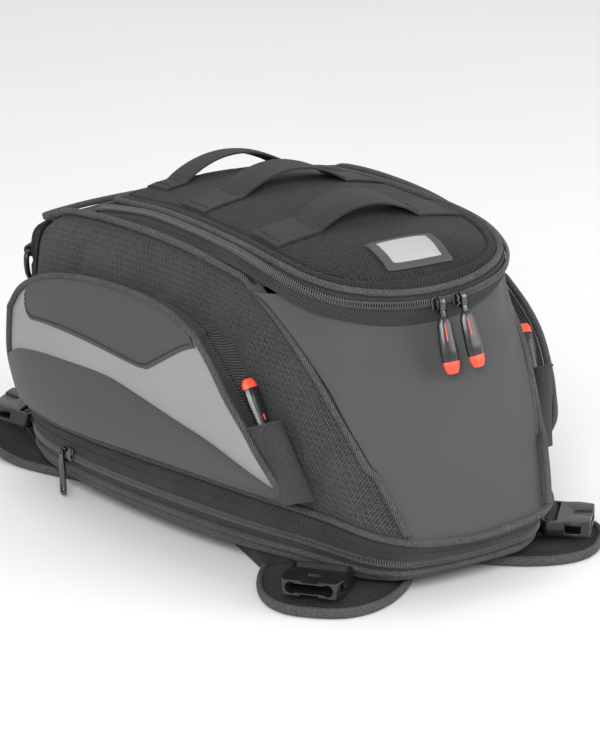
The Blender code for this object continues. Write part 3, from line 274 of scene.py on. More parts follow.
GREY = (0.045, 0.045, 0.0455)
LOOKS = {
    "ripstop": fabric("ripstop_grid", shade(GREY, 0.85), plain_threads, 2.3, 0.3, 0.85,
                      grid=5.2, slub=0.7),
    "gusset": fabric("gusset_cloth", shade(GREY, 0.9), plain_threads, 1.9, 0.25, 0.7),
    "lid_fabric": fabric("lid_coarse_weave", shade(GREY, 0.45), plain_threads, 2.5, 0.4, 0.95,
                         slub=0.8),
    "binding": fabric("twill_binding", shade(GREY, 1.3), twill_threads, 2.2, 0.3, 0.95, slub=0.7),
    "zip_tape": fabric("zip_tape_twill", shade(GREY, 0.75), twill_threads, 2.5, 0.35, 0.95),
    "chevron": fabric("pocket_zip_tape", shade(GREY, 0.75), chevron_threads, 2.4, 0.35, 0.85),
    "webbing": fabric("woven_webbing", shade(GREY, 0.6), webbing_threads, 1.6, 0.7, 1.0,
                      slub=0.3),
    "softshell": coated("softshell_skin", shade(GREY, 1.3), 2200, 0.05, 0.72, sheen=0.1),
    "reflective": coated("reflective_film", (0.29, 0.286, 0.281), 1500, 0.05, 0.5,
                         contrast=0.15),
    "rubber": coated("rubber_patch", (0.06, 0.06, 0.062), 1800, 0.04, 0.5),
    "patch_print": coated("patch_print", (0.4, 0.4, 0.4), 1800, 0.02, 0.5),
    "foam_board": moulded("base_board", (0.05, 0.05, 0.05), 0.7),
    "thread": moulded("sewing_thread", (0.018, 0.018, 0.019), 0.8, depth=0.1),
    "coil": moulded("zip_coil", (0.11, 0.11, 0.112), 0.4, depth=0.03),
    "slider_metal": moulded("gunmetal", (0.11, 0.11, 0.115), 0.24, metallic=1.0),
    "pull_plastic": moulded("pull_plastic", (0.012, 0.012, 0.013), 0.28, coat=0.3),
    "pull_tip": moulded("pull_tip", (0.85, 0.075, 0.035), 0.42),
    "buckle_plastic": moulded("buckle_plastic", (0.011, 0.011, 0.0115), 0.3, coat=0.2),
}


# Curves.

def spline(points, place, closed_ends=False):
    """The point at a place along a Catmull-Rom curve, where place 2.5 is halfway from 2 to 3."""
    points = [Vector(p) for p in points]
    last = len(points) - 1
    index = min(int(place), last - 1)
    t = place - index
    flip = Vector((-1, 1, 1))
    before = points[index - 1] if index else 2 * points[0] - points[1]
    after = points[index + 2] if index + 2 <= last else 2 * points[last] - points[last - 1]
    if closed_ends and index == 0:
        before = points[1] * flip
    if closed_ends and index + 2 > last and abs(points[last].x) < 1e-6:
        after = points[last - 1] * flip
    a, b = points[index], points[index + 1]
    return 0.5 * (2 * a + (b - before) * t + (2 * before - 5 * a + 4 * b - after) * t * t
                  + (3 * a - before - 3 * b + after) * t ** 3)


def resample(fine, count):
    """Count points evenly spaced along a polyline."""
    run = [0.0]
    for a, b in zip(fine, fine[1:]):
        run.append(run[-1] + (b - a).length)
    out = []
    j = 0
    for i in range(count):
        want = run[-1] * i / (count - 1)
        while j < len(fine) - 2 and run[j + 1] < want:
            j += 1
        t = (want - run[j]) / max(run[j + 1] - run[j], 1e-9)
        out.append(fine[j].lerp(fine[j + 1], t))
    return out


def stretch(points, start, end, count, closed_ends=True):
    """Count points evenly spaced in length along the part of a spline from start to end."""
    steps = 400
    fine = [spline(points, start + (end - start) * i / steps, closed_ends)
            for i in range(steps + 1)]
    return resample(fine, count)


def whole(points, count, closed_ends=True):
    return stretch(points, 0, len(points) - 1, count, closed_ends)


def mirrored(points):
    return [Vector((-p.x, p.y, p.z)) for p in points]


def flip(points, sign):
    return [Vector((p.x * sign, p.y, p.z)) for p in points]


def both_halves(half):
    """A half curve that starts on the plane X = 0, made whole: -X end first."""
    return mirrored(half)[:0:-1] + half


def loop_of(half):
    """A half curve from the rear middle to the front middle, made into a closed loop."""
    return half + mirrored(half)[-2:0:-1]


def length_of(path):
    return sum((b - a).length for a, b in zip(path, path[1:]))


def around(points, closed):
    """The direction along a path at each of its points."""
    count = len(points)
    out = []
    for i, here in enumerate(points):
        a = points[(i - 1) % count] if closed or i else here
        b = points[(i + 1) % count] if closed or i < count - 1 else here
        out.append((b - a).normalized())
    return out


def inward(points, closed):
    """Horizontal unit vectors from each point of an outline towards its inside."""
    middle = sum(points, Vector()) / len(points)
    out = []
    for here, along in zip(points, around(points, closed)):
        side = Vector((along.y, -along.x, 0)).normalized()
        out.append(side if side.dot(middle - here) > 0 else -side)
    return out


def smoothstep(x):
    x = min(max(x, 0.0), 1.0)
    return x * x * (3 - 2 * x)


# Meshes.

def grid_mesh(bm, rows, closed_along=False, closed_across=False):
    """Faces through rows of points. The weave's lengths are the mean ones along and across."""
    layer = bm.loops.layers.uv.get("weave") or bm.loops.layers.uv.new("weave")
    verts = [[bm.verts.new(p * MM) for p in row] for row in rows]
    count, width = len(rows), len(rows[0])
    along, across = [0.0], [0.0]
    for i in range(count):
        a, b = rows[i], rows[(i + 1) % count]
        along.append(along[-1] + sum((q - p).length for p, q in zip(a, b)) / width * MM)
    for j in range(width):
        k = (j + 1) % width
        across.append(across[-1] + sum((row[k] - row[j]).length for row in rows) / count * MM)
    middle = across[-1] / 2 if closed_across else across[-2] / 2
    for i in range(count if closed_along else count - 1):
        for j in range(width if closed_across else width - 1):
            k, m = (i + 1) % count, (j + 1) % width
            face = bm.faces.new((verts[i][j], verts[k][j], verts[k][m], verts[i][m]))
            places = ((i, j), (i + 1, j), (i + 1, j + 1), (i, j + 1))
            for loop, (s, t) in zip(face.loops, places):
                loop[layer].uv = (along[s], across[t] - middle)
    return verts


def cap(bm, verts):
    """Closes an end of a tube with a face."""
    layer = bm.loops.layers.uv["weave"]
    face = bm.faces.new(verts)
    for loop in face.loops:
        loop[layer].uv = (loop.vert.co.x, loop.vert.co.z)


def finish(bm, name, look, body, replaced=(), angle=50):
    """Turns a bmesh into the named piece, with its material, body and CAD nodes."""
    bmesh.ops.recalc_face_normals(bm, faces=bm.faces)
    mesh = bpy.data.meshes.new(name)
    bm.to_mesh(mesh)
    bm.free()
    made = bpy.data.objects.new(name, mesh)
    bpy.context.scene.collection.objects.link(made)
    mesh.materials.append(LOOKS[look])
    mesh.shade_smooth()
    mesh.set_sharp_from_angle(angle=math.radians(angle))
    if body:
        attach(made, body)
    if replaced:
        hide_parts(*replaced)
    return made


def slab(name, look, outer, inner, body, replaced=()):
    """A closed sheet of cloth between two grids of points, rows of equal length."""
    bm = bmesh.new()
    rows = [a + b[::-1] for a, b in zip(outer, inner)]
    verts = grid_mesh(bm, rows, closed_across=True)
    width = len(outer[0])
    for ends in (verts[0], verts[-1]):
        for j in range(width - 1):
            cap(bm, (ends[j], ends[j + 1], ends[-j - 2], ends[-j - 1]))
    return finish(bm, name, look, body, replaced)


def rings_of(path, closed, shape):
    """A cross-section, as (across, up) points, carried along a path without twisting."""
    up = Vector((0, 0, 1))
    rows = []
    for here, along in zip(path, around(path, closed)):
        if abs(along.dot(up)) > 0.9:
            up = Vector((0, 1, 0))
        across = along.cross(up).normalized()
        up = across.cross(along).normalized()
        rows.append([here + across * a + up * b for a, b in shape])
    return rows


def round_shape(radius, sides):
    return [(radius * math.cos(k * math.tau / sides), radius * math.sin(k * math.tau / sides))
            for k in range(sides)]


def tube(name, look, path, radius, body, closed=False, replaced=(), sides=14):
    """A piping or bar along a path."""
    bm = bmesh.new()
    verts = grid_mesh(bm, rings_of(path, closed, round_shape(radius, sides)), closed, True)
    if not closed:
        cap(bm, verts[0])
        cap(bm, verts[-1])
    return finish(bm, name, look, body, replaced)


def offset(grid, normals, depth):
    return [[p - n * depth for p, n in zip(row, line)] for row, line in zip(grid, normals)]


def grid_normals(grid, towards=None):
    """Unit normals of a grid, facing away from a point when one is given."""
    out = []
    for j, row in enumerate(grid):
        line = []
        for i in range(len(row)):
            along = row[min(i + 1, len(row) - 1)] - row[max(i - 1, 0)]
            up = grid[min(j + 1, len(grid) - 1)][i] - grid[max(j - 1, 0)][i]
            line.append(up.cross(along).normalized())
        out.append(line)
    j, i = len(grid) // 2, len(grid[0]) // 2
    inside = towards if towards is not None else SHELL_CENTRE
    if out[j][i].dot(grid[j][i] - inside) < 0:
        out = [[-n for n in line] for line in out]
    return out


def edge_distance(grid):
    """How far each point of a grid lies from the nearest border, in millimetres."""
    across = [[0.0] for _ in grid]
    for row, run in zip(grid, across):
        for a, b in zip(row, row[1:]):
            run.append(run[-1] + (b - a).length)
    out = []
    height = [[0.0] * len(grid[0])]
    for a, b in zip(grid, grid[1:]):
        height.append([h + (q - p).length for h, p, q in zip(height[-1], a, b)])
    for j, run in enumerate(across):
        out.append([min(x, run[-1] - x, height[j][i], height[-1][i] - height[j][i])
                    for i, x in enumerate(run)])
    return out


def rolled(grid, depth, width):
    """The grid with its border turned down into the seam."""
    normals = grid_normals(grid)
    near = edge_distance(grid)
    return [[p - n * depth * (1 - smoothstep(d / width)) for p, n, d in zip(row, line, gap)]
            for row, line, gap in zip(grid, normals, near)]


def blown(grid, pressure, most, frames=16, held=None, slack=0.02):
    """The grid after cloth simulation: pressure from inside, its border and held points pinned."""
    bm = bmesh.new()
    verts = grid_mesh(bm, grid)
    bmesh.ops.recalc_face_normals(bm, faces=bm.faces)
    bm.verts.index_update()
    order = [[v.index for v in row] for row in verts]
    j, i = len(grid) // 2, len(grid[0]) // 2
    outward = grid_normals(grid)[j][i]
    verts[j][i].normal_update()
    if verts[j][i].normal.dot(outward) < 0:
        bmesh.ops.reverse_faces(bm, faces=bm.faces)
    mesh = bpy.data.meshes.new("cloth")
    bm.to_mesh(mesh)
    bm.free()
    cloth = bpy.data.objects.new("cloth", mesh)
    bpy.context.scene.collection.objects.link(cloth)
    pins = set(order[0]) | set(order[-1]) | {row[0] for row in order} | {row[-1] for row in order}
    if held:
        pins |= {order[b][a] for b, row in enumerate(grid) for a, p in enumerate(row) if held(p)}
    group = cloth.vertex_groups.new(name="pins")
    group.add(sorted(pins), 1.0, "REPLACE")
    modifier = cloth.modifiers.new("cloth", "CLOTH")
    settings = modifier.settings
    settings.vertex_group_mass = "pins"
    settings.quality = 6
    settings.mass = 0.15
    settings.tension_stiffness = 12
    settings.compression_stiffness = 12
    settings.bending_stiffness = 0.4
    settings.shrink_min = -slack
    settings.use_pressure = True
    settings.uniform_pressure_force = pressure
    settings.effector_weights.gravity = 0
    modifier.point_cache.frame_start = 1
    modifier.point_cache.frame_end = frames
    scene = bpy.context.scene
    for number in range(1, frames + 1):
        scene.frame_set(number)
    posed = cloth.evaluated_get(bpy.context.evaluated_depsgraph_get()).to_mesh()
    out = []
    for row, line in zip(grid, order):
        moved = []
        for p, index in zip(row, line):
            step = posed.vertices[index].co / MM - p
            if step.length > most:
                step *= most / step.length
            moved.append(p + step)
        out.append(moved)
    bpy.data.objects.remove(cloth, do_unlink=True)
    scene.frame_set(1)
    return out


def softened(grid, rounds):
    """Evens out small folds inside a grid, leaving its border."""
    for _ in range(rounds):
        inner = [[(grid[j - 1][i] + grid[j + 1][i] + grid[j][i - 1] + grid[j][i + 1]) / 4
                  for i in range(1, len(grid[0]) - 1)] for j in range(1, len(grid) - 1)]
        grid = [grid[0]] + [[row[0]] + mid + [row[-1]] for row, mid in zip(grid[1:-1], inner)] \
            + [grid[-1]]
    return grid


STITCH, STITCH_GAP, THREAD = 2.6, 1.5, 0.32


def stitches(name, lines, body, look="thread", radius=THREAD, long=STITCH, gap=STITCH_GAP):
    """Lock stitches along lines of (path, normals): each a short thread that dips at its ends."""
    bm = bmesh.new()
    for path, normals in lines:
        count = max(2, int(length_of(path) / 0.6))
        fine = resample(path, count)
        step = (len(normals) - 1) / (count - 1)
        run = length_of(fine) / (count - 1)
        every = max(3, round((long + gap) / run))
        part = max(2, round(long / run))
        for start in range(0, count - part, every):
            place = [start + part * k / 4 for k in range(5)]
            points = []
            for k, at in enumerate(place):
                p = fine[min(int(round(at)), count - 1)]
                n = normals[min(int(round(at * step)), len(normals) - 1)]
                points.append(p + n * radius * (0.9 if 0 < k < 4 else -0.6))
            verts = grid_mesh(bm, rings_of(points, False, round_shape(radius, 5)), False, True)
            cap(bm, verts[0])
            cap(bm, verts[-1])
    return finish(bm, name, look, body)


def coil(name, path, across, out, side, body, width=3.0, height=1.7):
    """One half of a coil zip: a flattened helix along a path, on one side of its middle."""
    pitch, wire = 1.9, 0.42
    turns = int(length_of(path) / pitch)
    per_turn = 8
    count = turns * per_turn + 1
    fine = resample(path, count)
    step = (len(path) - 1) / (count - 1)
    points = []
    for k, p in enumerate(fine):
        at = min(int(k * step), len(path) - 2)
        t = k * step - at
        a = across[at].lerp(across[at + 1], t)
        n = out[at].lerp(out[at + 1], t)
        turn = math.tau * k / per_turn
        reach = width / 2 * (1 + math.cos(turn)) * 0.94 - 0.35
        points.append(p + a * side * reach + n * (height / 2) * math.sin(turn))
    bm = bmesh.new()
    verts = grid_mesh(bm, rings_of(points, False, round_shape(wire, 4)), False, True)
    cap(bm, verts[0])
    cap(bm, verts[-1])
    return finish(bm, name, "coil", body, angle=180)


def solid(name, look, outline, low, high, body, turn=IDENTITY, bevel=0.6, segments=3,
          replaced=(), holes=()):
    """A moulded piece: an outline in its own XY plane, extruded, cut and with rounded edges."""
    bm = bmesh.new()
    floor = [bm.verts.new((x, y, low)) for x, y in outline]
    roof = [bm.verts.new((x, y, high)) for x, y in outline]
    bm.faces.new(reversed(floor))
    bm.faces.new(roof)
    count = len(outline)
    for i in range(count):
        bm.faces.new((floor[i], floor[(i + 1) % count], roof[(i + 1) % count], roof[i]))
    bm.loops.layers.uv.new("weave")
    bm.transform(Matrix.Scale(MM, 4) @ turn)
    made = finish(bm, name, look, body, replaced, angle=35)
    for index, (hole, deep, tall) in enumerate(holes):
        cut(made, hole, deep, tall, turn, index)
    if bevel:
        edge = made.modifiers.new("bevel", "BEVEL")
        edge.width = bevel * MM
        edge.segments = segments
        edge.limit_method = "ANGLE"
        edge.angle_limit = math.radians(30)
        edge.harden_normals = False
    applied(made, 40)
    return made


def cut(target, outline, low, high, turn, index):
    """Takes an extruded outline out of a piece, at once."""
    bm = bmesh.new()
    floor = [bm.verts.new((x, y, low)) for x, y in outline]
    roof = [bm.verts.new((x, y, high)) for x, y in outline]
    bm.faces.new(reversed(floor))
    bm.faces.new(roof)
    count = len(outline)
    for i in range(count):
        bm.faces.new((floor[i], floor[(i + 1) % count], roof[(i + 1) % count], roof[i]))
    bmesh.ops.recalc_face_normals(bm, faces=bm.faces)
    bm.transform(Matrix.Scale(MM, 4) @ turn)
    mesh = bpy.data.meshes.new("cutter")
    bm.to_mesh(mesh)
    bm.free()
    cutter = bpy.data.objects.new(f"cutter_{index}", mesh)
    bpy.context.scene.collection.objects.link(cutter)
    modifier = target.modifiers.new("cut", "BOOLEAN")
    modifier.operation = "DIFFERENCE"
    modifier.solver = "EXACT"
    modifier.object = cutter
    applied(target, 35)
    bpy.data.objects.remove(cutter, do_unlink=True)


def applied(made, angle):
    """Replaces a piece's mesh with what its modifiers make of it."""
    graph = bpy.context.evaluated_depsgraph_get()
    mesh = bpy.data.meshes.new_from_object(made.evaluated_get(graph))
    made.modifiers.clear()
    made.data = mesh
    mesh.shade_smooth()
    mesh.set_sharp_from_angle(angle=math.radians(angle))


# The base band: tray, pipings, the expansion zip's tapes and coils, and the gusset they hide.

BAND_POINTS = 150  # points along half of the base outline


def band_ring(fraction, inset, count=BAND_POINTS):
    """The base outline at a height share between the floor and the upper piping, set in."""
    top = whole(BASE_TOP, count)
    bottom = whole(BASE_BOTTOM, count)
    ring = loop_of([b.lerp(t, fraction) for b, t in zip(bottom, top)])
    return [p + n * inset for p, n in zip(ring, inward(ring, True))]


def band(name, look, corners, body, replaced=()):
    """A ring whose cross-section has the given (height share, inset) corners."""
    rings = [band_ring(*corner) for corner in corners]
    bm = bmesh.new()
    grid_mesh(bm, [list(profile) for profile in zip(*rings)], True, True)
    return finish(bm, name, look, body, replaced)


def tape_corners(low, high, inset, thick, dip=0.9):
    """A tape's section: its two edges turn in a little towards the seams."""
    shares = [low + (high - low) * k / 6 for k in range(7)]
    front = [(s, inset + dip * (abs(k - 3) / 3) ** 3) for k, s in enumerate(shares)]
    return front + [(s, inset + thick + dip) for s in shares[::-1]]


def make_base():
    tray = [(0, 14), (0, 5), (0, 1.2), (0.03, 0.1), (0.09, 0), (0.15, 0.6), (0.15, 3.4),
            (0.06, 3.4), (0.06, 14)]
    band("base_tray_skin", "binding", tray, "base", ["base_panel"])
    tube("lower_piping_skin", "binding", band_ring(0.2, 0.6), BAND_PIPING, "base", True,
         ["lower_base_piping"])
    band("lower_tape_skin", "zip_tape", tape_corners(0.235, 0.44, 0.4, 1.4), "base",
         ["expansion_zip_lower_tape"])
    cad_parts["base_board"].data.materials[0] = LOOKS["foam_board"]
    shares = [0.17 + 0.75 * k / 18 for k in range(19)]
    folds = [(s, 4.6 + 0.5 * math.cos(k * math.pi)) for k, s in enumerate(shares)]
    section = folds + [(s, 6.6) for s in shares[::-1]]
    gusset = band("expansion_gusset_skin", "gusset", section, None, ["expansion_gusset"])
    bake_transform(gusset)
    for name, share, side, body in (("lower", 0.445, -1, "base"), ("upper", 0.445, 1, "shell")):
        path = band_ring(share, 0.2)
        path.append(path[0])
        out = [-v for v in inward(path[:-1], True)]
        out.append(out[0])
        up = [Vector((0, 0, 1))] * len(path)
        coil(f"expansion_coil_{name}", path, up, out, side, body, width=3.4, height=2.0)


def make_shell_skirt():
    band("upper_tape_skin", "zip_tape", tape_corners(0.45, 0.93, 0.4, 1.4), "shell",
         ["expansion_zip_upper_tape"])
    tube("upper_piping_skin", "binding", band_ring(1.0, 0), BAND_PIPING, "shell", True,
         ["upper_base_piping"])
    for name, share in (("high", 0.9), ("low", 0.72)):
        ring = band_ring(share, 0.3)
        stitches(f"band_stitches_{name}", [(ring + ring[:1], [-v for v in inward(ring, True)])],
                 "shell")


# The shell's panels.

def base_edge(start, end, count):
    """Points just above the upper base piping."""
    lift = Vector((0, 0, 1.6))
    return [p + lift for p in stretch(BASE_TOP, start, end, count)]


def rear_edge(count):
    top_down = [Vector(p) for p in REAR_EDGE] + [base_edge(REAR_CORNER, REAR_CORNER + 1, 2)[0]]
    return whole(top_down, count, False)[::-1]


def front_edge(count):
    top_down = [Vector(p) for p in FRONT_EDGE] + [base_edge(FRONT_CORNER, 12, 2)[0]]
    return whole(top_down, count, False)[::-1]


FRONT_FLATNESS = 11.0


def coons(bottom, top, first, last):
    """A grid of points between four edges. Rows run from bottom to top."""
    columns, rows = len(bottom) - 1, len(first) - 1
    grid = []
    for j in range(rows + 1):
        v = j / rows
        row = []
        for i in range(columns + 1):
            u = i / columns
            ruled = bottom[i].lerp(top[i], v) + first[j].lerp(last[j], u)
            corners = bottom[0].lerp(bottom[-1], u).lerp(top[0].lerp(top[-1], u), v)
            row.append(ruled - corners)
        grid.append(row)
    return grid


def side_grid(columns, rows):
    """The right side panel's outer surface: columns run from the rear to the front corner."""
    return coons(base_edge(REAR_CORNER, FRONT_CORNER, columns),
                 whole(TOP_EDGE, columns, False)[::-1], rear_edge(rows), front_edge(rows))


def half_panel(bottom, top, edge):
    return coons(bottom + mirrored(bottom)[-2::-1], top + mirrored(top)[-2::-1], edge,
                 mirrored(edge))


def front_grid(columns, rows):
    grid = half_panel(base_edge(FRONT_CORNER, len(BASE_TOP) - 1, columns),
                      whole(FRONT_TOP, columns), front_edge(rows))
    for j, row in enumerate(grid):
        up = math.sin(math.pi * j / (len(grid) - 1))
        for i, p in enumerate(row):
            p.y += FRONT_FLATNESS * up * math.sin(math.pi * i / (len(row) - 1))
    return grid


def rear_grid(columns, rows):
    return half_panel(base_edge(0, REAR_CORNER, columns)[::-1], whole(REAR_TOP, columns),
                      rear_edge(rows))


def skin(name, look, grid, body, replaced, thick=1.6):
    inner = offset(grid, grid_normals(grid), thick)
    return slab(name, look, grid, inner, body, replaced)


def make_panels():
    side = blown(rolled(side_grid(72, 38), 1.6, 7), 6.0, 5.0, held=behind_pocket, slack=0.012)
    for name, sign in SIDES:
        grid = [flip(row, sign) for row in side]
        skin(f"side_skin_{name}", "ripstop", grid, "shell", [f"side_panel_{name}"])
    front = softened(blown(rolled(front_grid(25, 40), 1.8, 9), 3.0, 3.0, slack=0.0), 6)
    skin("front_skin", "softshell", front, "shell", ["front_panel"])
    rear = blown(rolled(rear_grid(30, 34), 1.6, 7), 6.0, 5.0, slack=0.012)
    skin("rear_skin", "ripstop", rear, "shell", ["rear_panel"])


def behind_pocket(p):
    """True in the middle of the ground that the side pocket covers."""
    return -60 < p.y < 170 and 70 < p.z < 150


def body_piping_line():
    """Up the left front corner, round the rear along the top edge and down the right."""
    top = whole(REAR_TOP, 40)[::-1] + whole(TOP_EDGE, 90, False)[-2:0:-1]
    proud = [p + (p - SHELL_CENTRE).normalized() * (BODY_PIPING + 0.4) for p in top]
    rows = 60
    edge = front_edge(rows)
    side, front = side_grid(40, rows), front_grid(14, rows)
    corner = []
    for j in range(rows - 1, 0, -1):
        up = edge[min(j + 1, rows - 1)] - edge[j - 1]
        sideways = up.cross(edge[j] - side[j][-2]).normalized()
        ahead = (edge[j] - front[j][1]).cross(up).normalized()
        corner.append(edge[j] + (sideways + ahead).normalized() * (BODY_PIPING + 1.8))
    joined = proud[:-4] + corner[4:]
    return resample(joined, 170)


def make_body_piping():
    line = both_halves(body_piping_line())
    tube("body_piping_skin", "binding", line, BODY_PIPING, "shell", replaced=["body_piping"])


def make_top_gusset():
    """The fabric strip between the zip and the top edge of the side and rear panels."""
    inner = stretch(BAND_LOW, 3.7, 9, 60)[:-1] + whole(YOKE_INNER, 30)
    outer = whole(TOP_EDGE, 60, False)[:-1] + whole(REAR_TOP, 30)
    inner, outer = (side + mirrored(side)[-2::-1] for side in (inner, outer))
    shares = [k / 10 for k in range(11)]
    rows = [[a.lerp(b, v) for a, b in zip(inner, outer)] for v in shares]
    rows = blown(rolled(rows, 1.2, 5), 5.0, 3.0, slack=0.01)
    skin("top_gusset_skin", "gusset", rows, "shell", ["top_gusset"])


def make_lid_hinge():
    """The fabric that joins the rear of the lid to the top gusset. On the bag it folds as the lid opens;
    here it is made in its shut shape and bound to no body.
    """
    foot, head = whole(YOKE_INNER, 24), whole(HINGE_TOP, 24)
    foot = [p + Vector((0, 1.0, -0.8)) for p in foot]
    foot, head = (half + mirrored(half)[-2::-1] for half in (foot, head))
    rows = [[a.lerp(b, k / 8) + Vector((0, 1.6 * math.sin(math.pi * k / 8), 0))
             for a, b in zip(foot, head)] for k in range(9)]
    hinge = skin("lid_hinge_strip", "gusset", rows, None, [], thick=1.2)
    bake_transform(hinge)


# The lid and the main zip. Strips run over the whole U: left rear, round the front, right rear.

STRIP_COUNT = 150


def strip_frames():
    """For the whole U: points of the lid's edge, the zip line and the band's lower edge."""
    return [both_halves(stretch(points, 0, 9, STRIP_COUNT))
            for points in (LID_EDGE, ZIP_LINE, BAND_LOW)]


def strip_out(upper, lower):
    """Outward directions of the ruled strip between two lines."""
    out = []
    middle = Vector((0, 10, 190))
    for p, q, along in zip(upper, lower, around(upper, False)):
        normal = along.cross(q - p).normalized()
        out.append(normal if normal.dot(p - middle) > 0 else -normal)
    return out


def tape(name, look, upper, lower, shares, thick, body, replaced=(), bow=0.8):
    """A tape between two shares of the way from one line to another, bowed outwards."""
    out = strip_out(upper, lower)
    steps = 7
    rows = []
    for k in range(steps):
        share = shares[0] + (shares[1] - shares[0]) * k / (steps - 1)
        swell = bow * math.sin(math.pi * k / (steps - 1))
        rows.append([p.lerp(q, share) + n * swell for p, q, n in zip(upper, lower, out)])
    inner = [[p - n * thick for p, n in zip(row, out)] for row in rows]
    return slab(name, look, rows, inner, body, replaced)


def lid_outline(count):
    half = [Vector(p) for p in LID_EDGE + LID_REAR][::-1]
    return loop_of(whole(half, count))


def spine_height(y):
    points = SPINE_HEIGHTS
    y = min(max(y, points[0][0]), points[-1][0])
    for (y0, z0), (y1, z1) in zip(points, points[1:]):
        if y <= y1:
            return z0 + (z1 - z0) * smoothstep((y - y0) / (y1 - y0))
    return points[-1][1]


def lid_surface(edge, share):
    """A point of the lid's crowned top, from its edge (0) to its middle line (1)."""
    y = min(max(edge.y, SPINE_HEIGHTS[0][0]), SPINE_HEIGHTS[-1][0])
    flat = edge.lerp(Vector((0, y, edge.z)), share)
    rise = 1 - (1 - share) ** 2.2
    return Vector((flat.x, flat.y, edge.z + (spine_height(y) - edge.z) * rise))


def lid_reach(p):
    """How far a point of the lid's edge is from the lid's middle line."""
    front = SPINE_HEIGHTS[0][0]
    if p.y > front:
        return max(abs(p.x), 20.0)
    return (p.xy - Vector((0, front))).length


OUTLINE = lid_outline(60)


def lid_height(x, y):
    """The height of the lid's top over a point: a line from its middle through it to the edge."""
    middle_y = min(max(y, SPINE_HEIGHTS[0][0]), SPINE_HEIGHTS[-1][0])
    start, here = Vector((0, middle_y)), Vector((x, y))
    reach = (here - start).length
    if reach < 0.5:
        return spine_height(middle_y)
    far = start + (here - start).normalized() * 400
    for a, b in zip(OUTLINE, OUTLINE[1:] + OUTLINE[:1]):
        hit = intersect_line_line_2d(start, far, a.xy, b.xy)
        if hit:
            along = (hit - a.xy).length / (b - a).xy.length
            share = 1 - reach / (hit - start).length
            return lid_surface(a.lerp(b, along), share).z
    return spine_height(middle_y)


SEAM_IN = 9.0  # from the lid's edge to the seam of its centre panel
LID_STEPS = (0, 1.0, 2.5, 4.5, 6.5, 7.8, 8.5, 9.0, 9.5, 10.2, 11.5, 14, 18, 23, 29, 36)


def seam_dip(distance):
    return 1.5 * math.exp(-((distance - SEAM_IN) / 1.1) ** 2)


def make_lid():
    edge = lid_outline(110)
    sides = inward(edge, True)
    start = [p + n * 1.5 for p, n in zip(edge, sides)]
    rings = []
    for distance in LID_STEPS:
        ring = []
        for p, n in zip(start, sides):
            q = lid_surface(p, min(distance / lid_reach(p), 0.96))
            swell = 1.3 * math.sin(math.pi * min(distance / SEAM_IN, 1.0))
            q.z += swell - seam_dip(distance)
            ring.append(q)
        rings.append(ring)
    last = [min(LID_STEPS[-1] / lid_reach(p), 0.96) for p in start]
    for k in range(1, 7):
        ring = [lid_surface(p, s + (0.985 - s) * k / 6) for p, s in zip(start, last)]
        rings.append(ring)
    under = [[Vector((p.x, p.y, p.z - LID_THICK)) for p in rings[k]] for k in (16, 10, 4, 0)]
    bm = bmesh.new()
    grid_mesh(bm, rings[::-1] + [[p - Vector((0, 0, 2)) for p in rings[0]]] + under[::-1],
              closed_across=True)
    bm.verts.ensure_lookup_table()
    count = len(edge)
    for ring_start in (0, len(bm.verts) - count):
        ring = [bm.verts[ring_start + k] for k in range(count)]
        half = count // 2
        cap(bm, (ring[0], ring[1], ring[-1]))
        for i in range(1, half - 1):
            cap(bm, (ring[i], ring[i + 1], ring[count - i - 1], ring[count - i]))
        cap(bm, (ring[half - 1], ring[half], ring[half + 1]))
    planar_weave(bm)
    made = finish(bm, "lid_skin", "lid_fabric", "lid", ["lid_panel"])
    tube("lid_piping_skin", "binding", edge, LID_PIPING, "lid", True, ["lid_piping"])
    seam = rings[LID_STEPS.index(9.0)]
    line = [p + n * 1.6 + Vector((0, 0, 1.3)) for p, n in zip(seam, sides)]
    up = [Vector((0, 0, 1))] * len(line)
    stitches("lid_seam_stitches", [(line + line[:1], up)], "lid")


def planar_weave(bm):
    """Lays the weave's lengths flat from above, so that cloth cut in one piece runs one way."""
    layer = bm.loops.layers.uv["weave"]
    for face in bm.faces:
        for loop in face.loops:
            loop[layer].uv = (loop.vert.co.x, loop.vert.co.y)


def make_main_zip():
    edge, line, low = strip_frames()
    tape("lid_tape_skin", "zip_tape", edge, line, (0.32, 0.86), 1.4, "lid", ["lid_zip_tape"])
    tape("main_tape_skin", "zip_tape", line, low, (0.12, 1.34), 1.4, "shell",
         ["main_zip_tape"])
    out = strip_out(line, low)
    across = [(p - q).normalized() for p, q in zip(line, low)]
    path = [p + n * 1.6 for p, n in zip(line, out)]
    for name, side, body in (("lid", 1, "lid"), ("shell", -1, "shell")):
        coil(f"main_coil_{name}", path, across, out, side, body, width=3.6, height=2.1)
    hem = [q.lerp(p, 0.2) + n * 0.7 for p, q, n in zip(line, low, out)]
    stitches("main_tape_stitches", [(hem, out)], "shell")
    hem = [p.lerp(q, 0.42) + n * 0.6 for p, q, n in zip(edge, line, strip_out(edge, line))]
    stitches("lid_tape_stitches", [(hem, out)], "lid")


def strap_height(x, half_span, rise):
    """How high a sewn loop stands over the lid at a place across it."""
    span = abs(x) / half_span
    return rise * math.cos(math.pi / 2 * span) ** 0.8 if span < 1 else 0.0


